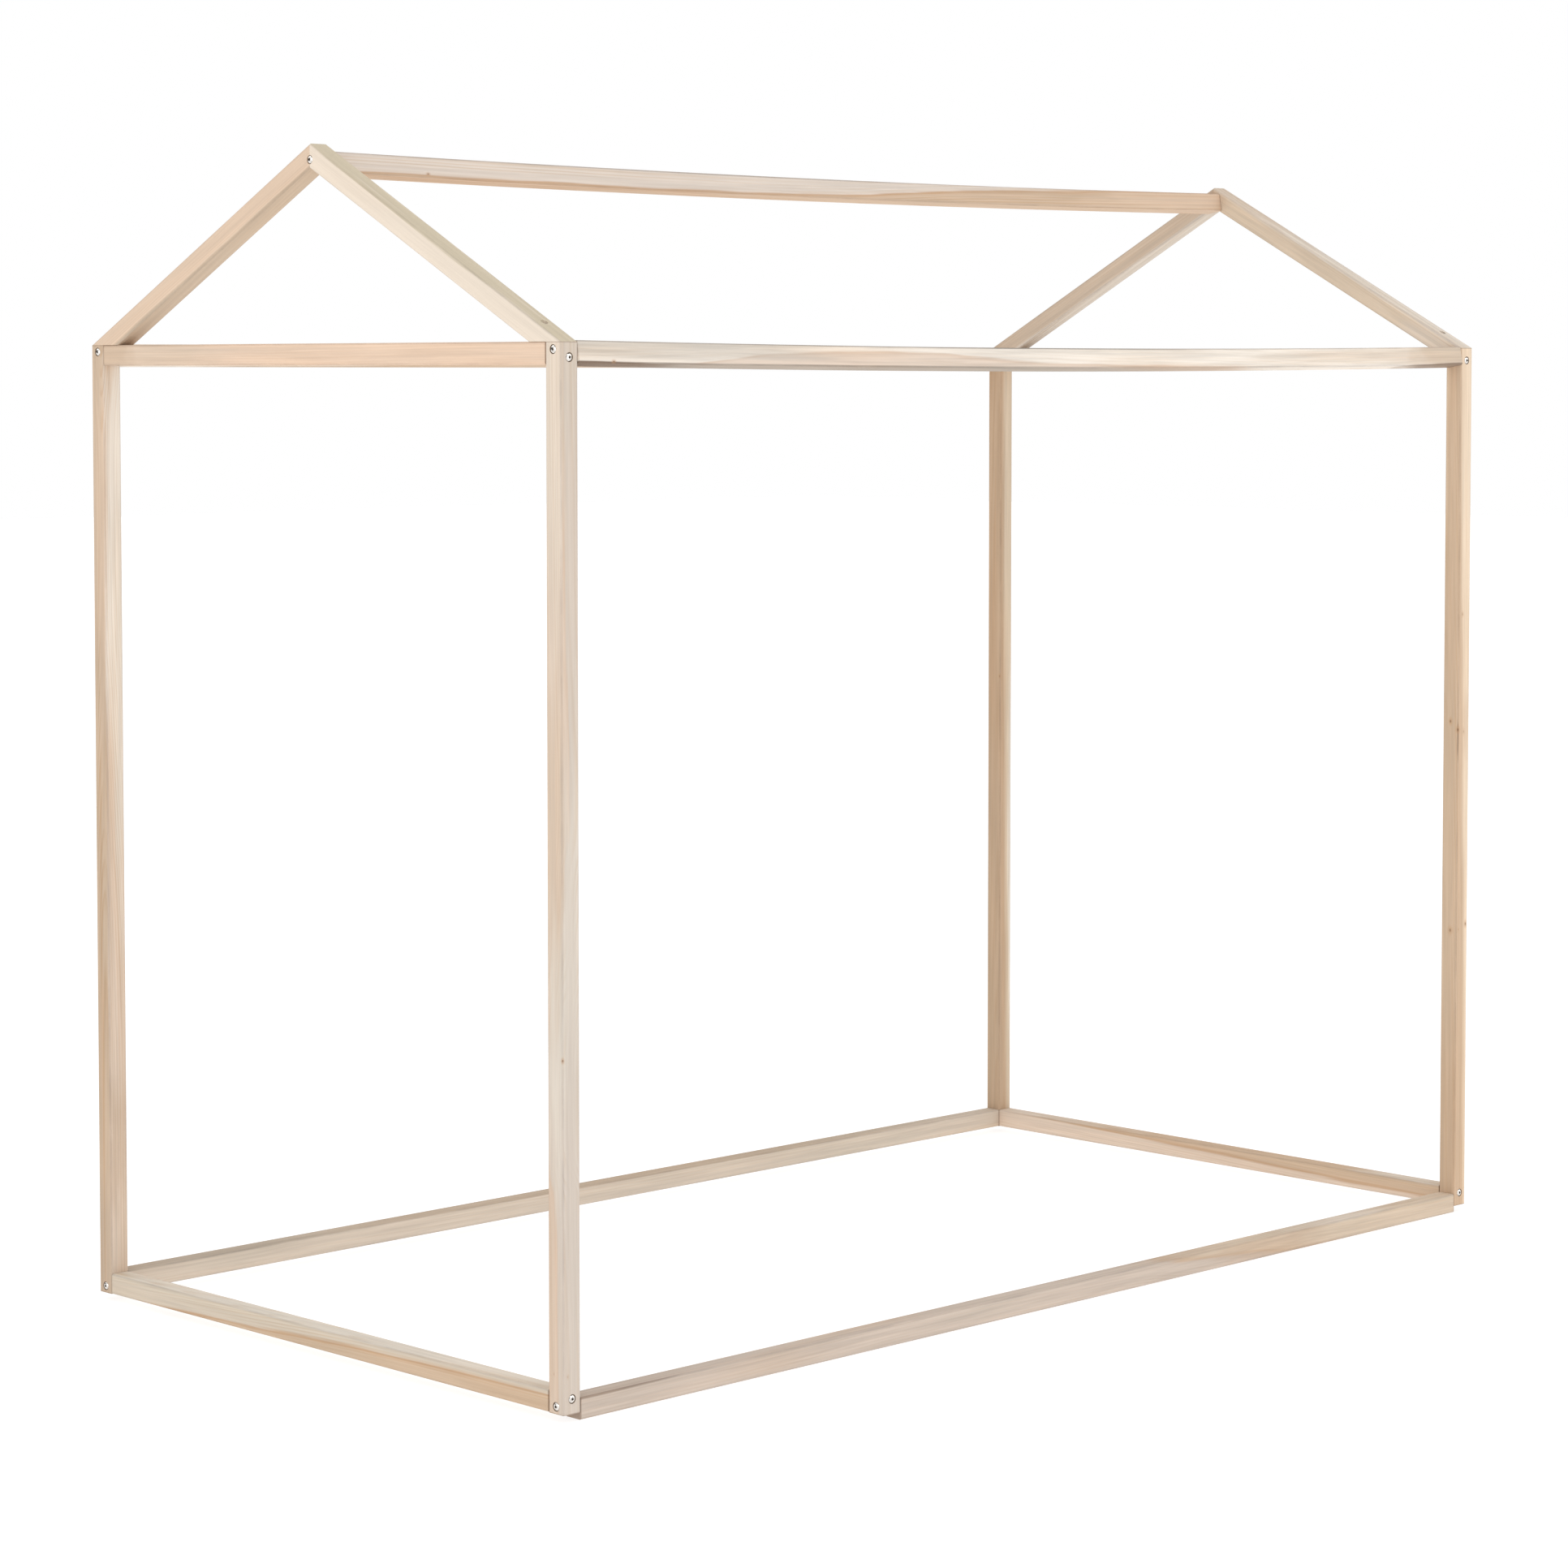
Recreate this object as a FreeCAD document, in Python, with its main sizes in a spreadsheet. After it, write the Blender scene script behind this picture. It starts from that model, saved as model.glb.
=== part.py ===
import FreeCAD, Part
import math
import os
import Sketcher

# House frame bed: four posts, two rings of rails, two gables and a ridge beam, all cut from
# one square softwood section and held by screws through the posts and rafters.
# Millimetres. X runs along the bed, Y across it, Z up. The origin is on the floor, under the
# middle of the frame. Front is -Y, left is -X.

doc = FreeCAD.newDocument("house_frame_bed")
V = FreeCAD.Vector
ROT = FreeCAD.Rotation
AXIS_X, AXIS_Y, AXIS_Z = V(1, 0, 0), V(0, 1, 0), V(0, 0, 1)
LEAST_CUT = 1.0        # cubic millimetres that any cut must take off
NEARLY_ONE = 0.9999    # dot product of two directions that count as parallel
HIDDEN_FLATS = 8       # bores and shanks out of sight in the timber have flats, not a round wall
SOCKET_FLATS = 6       # the key's socket in a screw's head

# ---------------------------------------------------------------- driving dimensions

DRIVING = (
    ("frame_length", "2100", "overall, over the posts' outer faces"),
    ("frame_width", "1104", "overall, over the posts' outer faces"),
    ("post_height", "1492", "length of a post"),
    ("roof_rise", "292", "from the post tops to the top of the mitre"),
    ("stock", "32", "side of the square timber"),
    ("arris", "3", "rounding along the timber's long edges"),
    ("bore_offset", "5.5", "how far a rail's end bore is off its centre line"),
    ("rail_roll", "10", "how far the top long rails and the ridge have turned, degrees"),
    ("head_diameter", "12", "frame screw, domed head"),
    ("head_height", "3.2", "frame screw, crown above the seat"),
    ("head_rim", "1.4", "straight rim of either screw's head"),
    ("recess_diameter", "13.5", "round seat for a frame screw's head"),
    ("recess_depth", "2.4", "depth of that seat"),
    ("shank", "6", "core of a frame screw"),
    ("pilot_bore", "6.4", "bore in a rail's end grain"),
    ("clearance_bore", "7", "bore through a post or a mitre"),
    ("screw_length", "76", "frame screw, under the head"),
    ("socket_width", "4", "hexagon across its flats"),
    ("socket_depth", "2", "depth of the hexagon socket"),
    ("foot_screw_inset", "52", "rafter foot screw, in from the post's outer face"),
    ("foot_screw_seat", "19.5", "rafter foot screw, seat above the post top"),
    ("foot_recess", "11", "counterbore in the rafter's slope"),
    ("foot_head", "9", "rafter foot screw, head"),
    ("foot_head_height", "3", "rafter foot screw, crown above the seat"),
    ("foot_shank", "4", "core of a rafter foot screw"),
    ("foot_pilot_bore", "4.4", "bore in the top of a cross rail"),
    ("foot_clearance", "4.8", "bore through the rafter's foot"),
    ("foot_screw_length", "35", "rafter foot screw, under the head"),
    ("tip_room", "1.5", "depth of a pilot bore past the screw's tip"),
    ("ridge_drop", "23.5", "ridge screw, below the top of the mitre"),
)

DERIVED = (
    ("foot_level", "=2 * bore_offset"),
    ("post_top", "=foot_level + post_height"),
    ("post_middle", "=foot_level + post_height / 2"),
    ("apex_level", "=post_top + roof_rise"),
    ("post_x", "=(frame_length - stock) / 2"),
    ("post_y", "=(frame_width - stock) / 2"),
    ("outer_x", "=frame_length / 2"),
    ("outer_y", "=frame_width / 2"),
    ("beam_length", "=frame_length - 2 * stock"),
    ("cross_length", "=frame_width - 2 * stock"),
    ("near_bore", "=stock / 2 - bore_offset"),
    ("far_bore", "=stock / 2 + bore_offset"),
    ("long_top", "=post_top - near_bore"),
    ("long_bottom", "=foot_level + near_bore"),
    ("cross_top", "=post_top - far_bore"),
    ("cross_bottom", "=foot_level + far_bore"),
    ("ridge_level", "=apex_level - ridge_drop"),
    ("slope", "=atan(roof_rise / outer_y)"),
    ("rafter_drop", "=stock / cos(slope)"),
    ("rafter_foot", "=stock / sin(slope)"),
    ("pilot_depth", "=screw_length + recess_depth - stock + tip_room"),
    ("foot_pilot_depth", "=foot_screw_length - foot_screw_seat + tip_room"),
    ("foot_screw_y", "=outer_y - foot_screw_inset"),
)

sheet = doc.addObject("Spreadsheet::Sheet", "Sheet")


def fill_sheet():
    """Write one row for each dimension: name, value, remark."""
    row = 1
    for alias, value, remark in DRIVING:
        sheet.set("A%d" % row, alias)
        sheet.set("B%d" % row, value)
        sheet.set("C%d" % row, remark)
        sheet.setAlias("B%d" % row, alias)
        row += 1
    for alias, formula in DERIVED:
        sheet.set("A%d" % row, alias)
        sheet.set("B%d" % row, formula)
        sheet.setAlias("B%d" % row, alias)
        row += 1
    doc.recompute()


def size(alias):
    """Read one value of the sheet as a plain number."""
    value = getattr(sheet, alias)
    return float(getattr(value, "Value", value))


fill_sheet()

# ---------------------------------------------------------------- sketch and body helpers

NODES = []


def new_body(name):
    """Start a timber or a set of screws: one body, one node."""
    body = doc.addObject("PartDesign::Body", name)
    body.Label = name
    NODES.append(body)
    return body


def plane_of(body, role):
    return next(f for f in body.Origin.OriginFeatures if f.Role == role)


def new_sketch(body, name, role, offset=None):
    """Sketch on an origin plane of the body; offset binds the sketch's own x, y and z shift."""
    sketch = body.newObject("Sketcher::SketchObject", name)
    sketch.AttachmentSupport = [(plane_of(body, role), "")]
    sketch.MapMode = "FlatFace"
    for axis, formula in (offset or {}).items():
        sketch.setExpression("AttachmentOffset.Base.%s" % axis, formula)
    return sketch


def add_polygon(sketch, points):
    """Closed outline through rough points; the caller adds the constraints."""
    count = len(points)
    for i in range(count):
        start, end = points[i], points[(i + 1) % count]
        sketch.addGeometry(Part.LineSegment(V(*start, 0), V(*end, 0)), False)
    for i in range(count):
        sketch.addConstraint(Sketcher.Constraint("Coincident", i, 2, (i + 1) % count, 1))


def bind(sketch, constraint, formula):
    """Add a dimension and tie it to the sheet."""
    index = sketch.addConstraint(constraint)
    sketch.setExpression("Constraints[%d]" % index, formula)


def add_circle(sketch, diameter):
    """Circle about the sketch origin."""
    circle = sketch.addGeometry(Part.Circle(V(0, 0, 0), AXIS_Z, size(diameter) / 2), False)
    sketch.addConstraint(Sketcher.Constraint("Coincident", circle, 3, -1, 1))
    bind(sketch, Sketcher.Constraint("Diameter", circle, size(diameter)), "Sheet." + diameter)


def add_flats(sketch, count, across):
    """Regular outline about the sketch origin, sized across its flats, one flat upright."""
    apothem = size(across) / 2
    reach = V(apothem / math.cos(math.pi / count), 0, 0)
    step = 360 / count
    corners = [ROT(AXIS_Z, (i - 0.5) * step).multVec(reach) for i in range(count)]
    add_polygon(sketch, [(corner.x, corner.y) for corner in corners])
    ring = sketch.addGeometry(Part.Circle(V(0, 0, 0), AXIS_Z, reach.x), True)
    sketch.addConstraint(Sketcher.Constraint("Coincident", ring, 3, -1, 1))
    for side in range(count):
        sketch.addConstraint(Sketcher.Constraint("PointOnObject", side, 1, ring))
    for side in range(1, count):
        sketch.addConstraint(Sketcher.Constraint("Equal", 0, side))
    sketch.addConstraint(Sketcher.Constraint("Vertical", 0))
    bind(sketch, Sketcher.Constraint("DistanceX", -1, 1, 0, 1, apothem), "Sheet.%s / 2" % across)


def pad(body, sketch, name, length, middle=False):
    feature = body.newObject("PartDesign::Pad", name)
    feature.Profile = sketch
    feature.setExpression("Length", length)
    feature.Midplane = middle
    doc.recompute()
    return feature


def pocket(body, sketch, name, depth=None, flipped=False):
    """Cut a sketch away, to a depth or right through, and make sure that wood came off."""
    before = body.Shape.Volume
    feature = body.newObject("PartDesign::Pocket", name)
    feature.Profile = sketch
    feature.Reversed = flipped
    if depth is None:
        feature.Type = 1
    else:
        feature.setExpression("Length", depth)
    doc.recompute()
    if body.Shape.Volume > before - LEAST_CUT:
        raise RuntimeError("%s removes nothing" % name)
    return feature


def seated_bore(body, name, role, shift, flipped):
    """Bore right through the timber with a round, flat seat for a domed head."""
    rim = new_sketch(body, name + "_seat_mark", role, shift)
    add_circle(rim, "recess_diameter")
    seat = pocket(body, rim, name + "_seat", "Sheet.recess_depth", flipped)
    mark = new_sketch(body, name + "_mark", role, shift)
    add_flats(mark, HIDDEN_FLATS, "clearance_bore")
    return [seat, pocket(body, mark, name, flipped=flipped)]


def mirror_features(body, name, originals, roles):
    """Repeat features about one origin plane, or about two in turn."""
    if len(roles) == 1:
        pattern = body.newObject("PartDesign::Mirrored", name)
        pattern.Originals = originals
        pattern.MirrorPlane = (plane_of(body, roles[0]), [""])
    else:
        pattern = body.newObject("PartDesign::MultiTransform", name)
        pattern.Originals = originals
        steps = []
        for role in roles:
            step = body.newObject("PartDesign::Mirrored", "%s_%s" % (name, role))
            step.MirrorPlane = (plane_of(body, role), [""])
            steps.append(step)
        pattern.Transformations = steps
    body.Tip = pattern
    doc.recompute()
    return pattern


def edges_along(shape, direction):
    """Names of the straight edges parallel to a direction."""
    names = []
    for number, edge in enumerate(shape.Edges, 1):
        straight = isinstance(edge.Curve, Part.Line)
        if straight and abs(edge.Curve.Direction.dot(direction)) > NEARLY_ONE:
            names.append("Edge%d" % number)
    return names


def ease_long_edges(body, name, direction):
    """Round the arrises that run along the grain."""
    base = body.Tip
    feature = body.newObject("PartDesign::Fillet", name)
    feature.Base = (base, edges_along(base.Shape, direction))
    feature.setExpression("Radius", "Sheet.arris")
    doc.recompute()
    return feature


def place(body, rotation, x, y, z):
    """Set the body's turn, then tie its position to the sheet."""
    body.Placement = FreeCAD.Placement(V(0, 0, 0), rotation)
    for axis, formula in (("x", x), ("y", y), ("z", z)):
        if formula:
            body.setExpression("Placement.Base.%s" % axis, formula)


# ---------------------------------------------------------------- posts

def square_section(sketch, below):
    """Timber section about the sketch origin; below is its depth under the origin."""
    side = size("stock")
    half = side / 2
    add_polygon(sketch, [(-half, -half), (half, -half), (half, half), (-half, half)])
    for line, kind in ((0, "Horizontal"), (1, "Vertical"), (2, "Horizontal"), (3, "Vertical")):
        sketch.addConstraint(Sketcher.Constraint(kind, line))
    bind(sketch, Sketcher.Constraint("DistanceX", 0, 1, 0, 2, side), "Sheet.stock")
    bind(sketch, Sketcher.Constraint("DistanceY", 1, 1, 1, 2, side), "Sheet.stock")
    bind(sketch, Sketcher.Constraint("DistanceX", 0, 1, -1, 1, half), "Sheet.stock / 2")
    bind(sketch, Sketcher.Constraint("DistanceY", 0, 1, -1, 1, half), below)


def add_post(name):
    """One post about its middle, drilled alike at both ends.

    Its left face takes the long rails' screws, nearest the ends, and its front face the cross
    rails' screws, further in, so that the two screws of a corner pass each other. Being alike
    at both ends, the same post turned over serves the other three corners.
    """
    body = new_body(name)
    section = new_sketch(body, name + "_section", "XY_Plane")
    square_section(section, "Sheet.stock / 2")
    pad(body, section, name + "_pad", "Sheet.post_height", True)
    ease_long_edges(body, name + "_arrises", AXIS_Z)

    level = "Sheet.%s - Sheet.post_height / 2"
    on_left = {"y": level % "near_bore", "z": "-Sheet.stock / 2"}
    on_front = {"y": level % "far_bore", "z": "Sheet.stock / 2"}
    cuts = seated_bore(body, name + "_long_rail_bore", "YZ_Plane", on_left, True)
    cuts += seated_bore(body, name + "_cross_rail_bore", "XZ_Plane", on_front, False)
    mirror_features(body, name + "_other_end", cuts, ["XY_Plane"])
    return body


upright = ROT()
half_turn = ROT(AXIS_Z, 180)
over_x = ROT(AXIS_X, 180)
over_y = ROT(AXIS_Y, 180)

for corner, turn, x, y in (("front_left", upright, "-Sheet.post_x", "-Sheet.post_y"),
                           ("front_right", over_y, "Sheet.post_x", "-Sheet.post_y"),
                           ("back_left", over_x, "-Sheet.post_x", "Sheet.post_y"),
                           ("back_right", half_turn, "Sheet.post_x", "Sheet.post_y")):
    place(add_post("post_" + corner), turn, x, y, "Sheet.post_middle")


# ---------------------------------------------------------------- rails and ridge

def add_rail(name, length, foot_pilots=False):
    """Timber along its own X with the screw axis on X, off the centre of the section.

    The two pilot bores in the end grain are one pocket and its mirror image.
    """
    body = new_body(name)
    section = new_sketch(body, name + "_section", "YZ_Plane")
    square_section(section, "Sheet.stock / 2 + Sheet.bore_offset")
    pad(body, section, name + "_pad", length, True)
    ease_long_edges(body, name + "_arrises", AXIS_X)

    end = new_sketch(body, name + "_end_mark", "YZ_Plane", {"z": length + " / 2"})
    add_flats(end, HIDDEN_FLATS, "pilot_bore")
    bore = pocket(body, end, name + "_end_pilot", "Sheet.pilot_depth")
    mirror_features(body, name + "_other_end", [bore], ["YZ_Plane"])

    if foot_pilots:
        shift = {"x": "Sheet.foot_screw_y", "z": "-Sheet.stock / 2 - Sheet.bore_offset"}
        mark = new_sketch(body, name + "_foot_mark", "XY_Plane", shift)
        add_flats(mark, HIDDEN_FLATS, "foot_pilot_bore")
        hole = pocket(body, mark, name + "_foot_pilot", "Sheet.foot_pilot_depth", flipped=True)
        mirror_features(body, name + "_other_foot_pilot", [hole], ["YZ_Plane"])
    return body


def place_turned(body, axis, x, y, z):
    """Place a rail that has rolled about its screws by the sheet's angle."""
    place(body, ROT(axis, size("rail_roll")), x, y, z)
    body.setExpression("Placement.Rotation.Angle", "Sheet.rail_roll * 1 deg")


BEAM = "Sheet.beam_length"
CROSS = "Sheet.cross_length"

# The top long rails and the ridge have rolled about their screws, lower edges outwards.
place_turned(add_rail("top_rail_front", BEAM), -AXIS_X, "", "-Sheet.post_y", "Sheet.long_top")
place_turned(add_rail("top_rail_back", BEAM), AXIS_X, "", "Sheet.post_y", "Sheet.long_top")
place_turned(add_rail("ridge_beam", BEAM), -AXIS_X, "", "", "Sheet.ridge_level")

# The back bottom rail is turned over, so it ends flush with the posts' feet. The front one is
# fitted the same way up as the top rails, so it hangs below the feet by twice the bore offset.
place(add_rail("bottom_rail_front", BEAM), upright, "", "-Sheet.post_y", "Sheet.long_bottom")
place(add_rail("bottom_rail_back", BEAM), over_x, "", "Sheet.post_y", "Sheet.long_bottom")

across = ROT(AXIS_Z, 90)
across_turned_over = across.multiply(over_x)

for side, x in (("left", "-Sheet.post_x"), ("right", "Sheet.post_x")):
    place(add_rail("bottom_rail_" + side, CROSS), across, x, "", "Sheet.cross_bottom")
    place(add_rail("top_rail_" + side, CROSS, True), across_turned_over, x, "", "Sheet.cross_top")


# ---------------------------------------------------------------- rafters

def add_rafter(name, outer):
    """Rafter from the post's outer top corner to the mitre; outer is its outer face, -1 or 1.

    In its own frame the foot's outer corner is the origin, Y runs to the middle of the gable.
    """
    body = new_body(name)
    outline = new_sketch(body, name + "_outline", "YZ_Plane")
    run, rise = size("outer_y"), size("roof_rise")
    drop, foot_length = size("rafter_drop"), size("rafter_foot")
    add_polygon(outline, [(0, 0), (run, rise), (run, rise - drop), (foot_length, 0)])
    outline.addConstraint(Sketcher.Constraint("Coincident", 0, 1, -1, 1))
    outline.addConstraint(Sketcher.Constraint("Vertical", 1))
    outline.addConstraint(Sketcher.Constraint("Horizontal", 3))
    bind(outline, Sketcher.Constraint("DistanceX", 0, 1, 0, 2, run), "Sheet.outer_y")
    bind(outline, Sketcher.Constraint("DistanceY", 0, 1, 0, 2, rise), "Sheet.roof_rise")
    bind(outline, Sketcher.Constraint("DistanceY", 1, 2, 1, 1, drop), "Sheet.rafter_drop")
    bind(outline, Sketcher.Constraint("DistanceX", 3, 2, 3, 1, foot_length), "Sheet.rafter_foot")
    pad(body, outline, name + "_pad", "Sheet.stock", True)
    ease_long_edges(body, name + "_arrises", V(0, run, rise).normalize())

    over_screw = {"y": "Sheet.foot_screw_inset"}
    seat_shift = dict(over_screw, z="Sheet.foot_screw_seat")
    rim = new_sketch(body, name + "_foot_seat_mark", "XY_Plane", seat_shift)
    add_circle(rim, "foot_recess")
    pocket(body, rim, name + "_foot_recess", flipped=True)
    mark = new_sketch(body, name + "_foot_mark", "XY_Plane", over_screw)
    add_flats(mark, HIDDEN_FLATS, "foot_clearance")
    pocket(body, mark, name + "_foot_bore", flipped=True)

    at_mitre = {"x": "Sheet.outer_y", "y": "Sheet.roof_rise - Sheet.ridge_drop",
                "z": "%d * Sheet.stock / 2" % outer}
    seated_bore(body, name + "_mitre_bore", "YZ_Plane", at_mitre, outer < 0)
    return body


for side, x, front_outer, back_outer in (("left", "-Sheet.post_x", -1, 1),
                                         ("right", "Sheet.post_x", 1, -1)):
    front = add_rafter("rafter_%s_front" % side, front_outer)
    place(front, upright, x, "-Sheet.outer_y", "Sheet.post_top")
    back = add_rafter("rafter_%s_back" % side, back_outer)
    place(back, half_turn, x, "Sheet.outer_y", "Sheet.post_top")


# ---------------------------------------------------------------- screws

FRAME_SCREW = ("head_diameter", "head_height", "shank", "screw_length")
FOOT_SCREW = ("foot_head", "foot_head_height", "foot_shank", "foot_screw_length")


def head_outline(sketch, diameter, crown):
    """Half section of a domed head: seat on the sketch's upright axis, crown at -x."""
    rim, radius, top = size("head_rim"), size(diameter) / 2, size(crown)
    points = [(-top, 0), (0, 0), (0, radius), (-rim, radius)]
    for start, end in zip(points, points[1:]):
        sketch.addGeometry(Part.LineSegment(V(*start, 0), V(*end, 0)), False)
    rise = top - rim
    sphere = (radius ** 2 + rise ** 2) / (2 * rise)
    centre = V(sphere - top, 0, 0)
    rim_angle = (V(-rim, radius, 0) - centre).getAngle(AXIS_X)
    circle = Part.Circle(centre, AXIS_Z, sphere)
    dome = sketch.addGeometry(Part.ArcOfCircle(circle, rim_angle, math.pi), False)
    add = sketch.addConstraint
    add(Sketcher.Constraint("Coincident", 0, 2, -1, 1))
    add(Sketcher.Constraint("Coincident", 0, 2, 1, 1))
    add(Sketcher.Constraint("Coincident", 1, 2, 2, 1))
    add(Sketcher.Constraint("Coincident", 2, 2, dome, 1))
    add(Sketcher.Constraint("Coincident", 0, 1, dome, 2))
    add(Sketcher.Constraint("PointOnObject", dome, 3, -1))
    add(Sketcher.Constraint("PointOnObject", 0, 1, -1))
    add(Sketcher.Constraint("Vertical", 1))
    add(Sketcher.Constraint("Horizontal", 2))
    bind(sketch, Sketcher.Constraint("DistanceX", 0, 1, -1, 1, top), "Sheet." + crown)
    bind(sketch, Sketcher.Constraint("DistanceX", 2, 2, -1, 1, rim), "Sheet.head_rim")
    bind(sketch, Sketcher.Constraint("DistanceY", -1, 1, 1, 2, radius), "Sheet.%s / 2" % diameter)


def add_screws(name, kind, seat, aside, level, mirrors, turn):
    """One screw, mirrored to its other places: a domed head, a shank and a hexagon socket.

    In the body's own frame the screw points along +x; seat, -aside and level place the middle
    of the head's seat. The turn then lays the whole set into the frame. The shank is the core
    of the thread.
    """
    diameter, crown, shank, length = kind
    body = new_body(name)
    profile = new_sketch(body, name + "_profile", "XZ_Plane", {"x": seat, "y": level, "z": aside})
    head_outline(profile, diameter, crown)
    doc.recompute()
    head = body.newObject("PartDesign::Revolution", name + "_head")
    head.Profile = profile
    head.ReferenceAxis = (profile, ["H_Axis"])
    head.Angle = 360
    doc.recompute()

    across_axis = {"x": "-(%s)" % aside, "y": level}
    section = new_sketch(body, name + "_section", "YZ_Plane", dict(across_axis, z=seat))
    add_flats(section, HIDDEN_FLATS, shank)
    stem = pad(body, section, name + "_shank", "Sheet." + length)
    top = "%s - Sheet.%s" % (seat, crown)
    key = new_sketch(body, name + "_key", "YZ_Plane", dict(across_axis, z=top))
    add_flats(key, SOCKET_FLATS, "socket_width")
    socket = pocket(body, key, name + "_socket", "Sheet.socket_depth", flipped=True)
    mirror_features(body, name + "_set", [head, stem, socket], mirrors)
    place(body, turn, "", "", "")
    return body


LONG_SEAT = "-Sheet.outer_x + Sheet.recess_depth"
CROSS_SEAT = "-Sheet.outer_y + Sheet.recess_depth"
FOOT_SEAT = "-Sheet.post_top - Sheet.foot_screw_seat"
BOTH_WAYS = ["YZ_Plane", "XZ_Plane"]

for end, level in (("top", "Sheet.long_top"), ("bottom", "Sheet.long_bottom")):
    add_screws("screws_%s_long_rails" % end, FRAME_SCREW, LONG_SEAT, "Sheet.post_y", level,
               BOTH_WAYS, upright)
for end, level in (("top", "Sheet.cross_top"), ("bottom", "Sheet.cross_bottom")):
    add_screws("screws_%s_cross_rails" % end, FRAME_SCREW, CROSS_SEAT, "Sheet.post_x", level,
               BOTH_WAYS, across)
add_screws("screws_ridge", FRAME_SCREW, LONG_SEAT, "0 mm", "Sheet.ridge_level", ["YZ_Plane"], upright)
add_screws("screws_rafter_feet", FOOT_SCREW, FOOT_SEAT, "Sheet.foot_screw_y", "Sheet.post_x",
           ["XZ_Plane", "XY_Plane"], ROT(AXIS_Y, 90))


# ---------------------------------------------------------------- checks and files

def check_document():
    """Every object must have recomputed, and every node must be sound, closed solids."""
    doc.recompute()
    for item in doc.Objects:
        if "Invalid" in item.State or "Error" in item.State:
            raise RuntimeError("%s failed to recompute" % item.Name)
    for node in NODES:
        if node.Shape.isNull() or not node.Shape.isValid() or not node.Shape.Solids:
            raise RuntimeError("%s has no sound shape" % node.Label)


def write_nodes():
    os.makedirs("parts", exist_ok=True)
    for node in NODES:
        node.Shape.exportStep("parts/%s.step" % node.Label)
        box = node.Shape.BoundBox
        print("%-26s solids %d  volume %9.0f  x %7.1f %7.1f  y %7.1f %7.1f  z %7.1f %7.1f" % (
            node.Label, len(node.Shape.Solids), sum(s.Volume for s in node.Shape.Solids),
            box.XMin, box.XMax, box.YMin, box.YMax, box.ZMin, box.ZMax))


check_document()
write_nodes()
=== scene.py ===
# %% [markdown]
# # A house frame bed in bare softwood
#
# The real bed frame is seventeen sticks of planed softwood, all of one square section, held
# together by screws. Its shape is settled already in the CAD model, so this lesson is about
# the rest: light, camera, wood that looks like wood, bright screw heads, and two beams that
# have sagged a little. Lengths are metres: X runs along the bed, Y across it, Z up.

# %% Load the fixed frame
import math

import bpy
from mathutils import Euler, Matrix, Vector


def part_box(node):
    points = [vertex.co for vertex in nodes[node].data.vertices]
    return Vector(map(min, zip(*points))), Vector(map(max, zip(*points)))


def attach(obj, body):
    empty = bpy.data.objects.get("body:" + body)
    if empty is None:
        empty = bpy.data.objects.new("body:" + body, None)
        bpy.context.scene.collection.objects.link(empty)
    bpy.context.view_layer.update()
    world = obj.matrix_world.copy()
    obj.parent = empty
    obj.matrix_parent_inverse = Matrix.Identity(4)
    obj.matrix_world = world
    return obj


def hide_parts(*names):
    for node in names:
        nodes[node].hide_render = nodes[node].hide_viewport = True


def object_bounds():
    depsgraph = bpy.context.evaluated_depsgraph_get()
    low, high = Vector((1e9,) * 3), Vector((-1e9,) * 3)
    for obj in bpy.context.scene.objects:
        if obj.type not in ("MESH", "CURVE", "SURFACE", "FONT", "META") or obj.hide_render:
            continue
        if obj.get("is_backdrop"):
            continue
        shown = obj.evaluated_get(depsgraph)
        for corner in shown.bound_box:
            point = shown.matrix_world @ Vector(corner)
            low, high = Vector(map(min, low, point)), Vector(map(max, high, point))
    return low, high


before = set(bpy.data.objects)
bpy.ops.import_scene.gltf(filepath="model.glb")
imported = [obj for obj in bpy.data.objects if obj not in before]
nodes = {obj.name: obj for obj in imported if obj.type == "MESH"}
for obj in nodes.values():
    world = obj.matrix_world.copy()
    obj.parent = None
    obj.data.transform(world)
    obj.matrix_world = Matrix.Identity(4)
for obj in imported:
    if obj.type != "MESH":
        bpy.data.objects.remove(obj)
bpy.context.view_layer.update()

# %% [markdown]
# ## Camera
#
# The photograph was taken from far away with a long lens, from just below the tops of the
# posts, and the posts stand almost upright in it. A camera that is tilted down makes them lean
# together. A lens that is shifted down keeps them straight, but the shift stays when the
# camera goes round the bed, and a large one would push the roof out of those views. So the two
# share the work: a tilt of three degrees, which hardly shows, and a shift for the rest.

# %% Camera
SENSOR = 36               # millimetres across
LENS = 94.74              # millimetres
YAW = 45.421              # degrees, from X towards Y
PITCH = 3.086             # degrees below level
SHIFT = -0.12             # of the picture's width, downwards
CAMERA_PLACE = (-4.81019, -4.80433, 1.45922)
FARTHEST = 60             # metres from the camera; what is beyond isn't drawn

camera_data = bpy.data.cameras.new("Camera")
camera = bpy.data.objects.new("Camera", camera_data)
bpy.context.scene.collection.objects.link(camera)
camera_data.sensor_width = SENSOR
camera_data.lens = LENS
camera_data.shift_y = SHIFT
camera_data.clip_end = FARTHEST
camera.location = CAMERA_PLACE
camera.rotation_euler = Euler((math.radians(90 - PITCH), 0, math.radians(YAW - 90)))
bpy.context.scene.camera = camera
print("camera", [round(v, 3) for v in camera.location], "lens", camera_data.lens)

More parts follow.
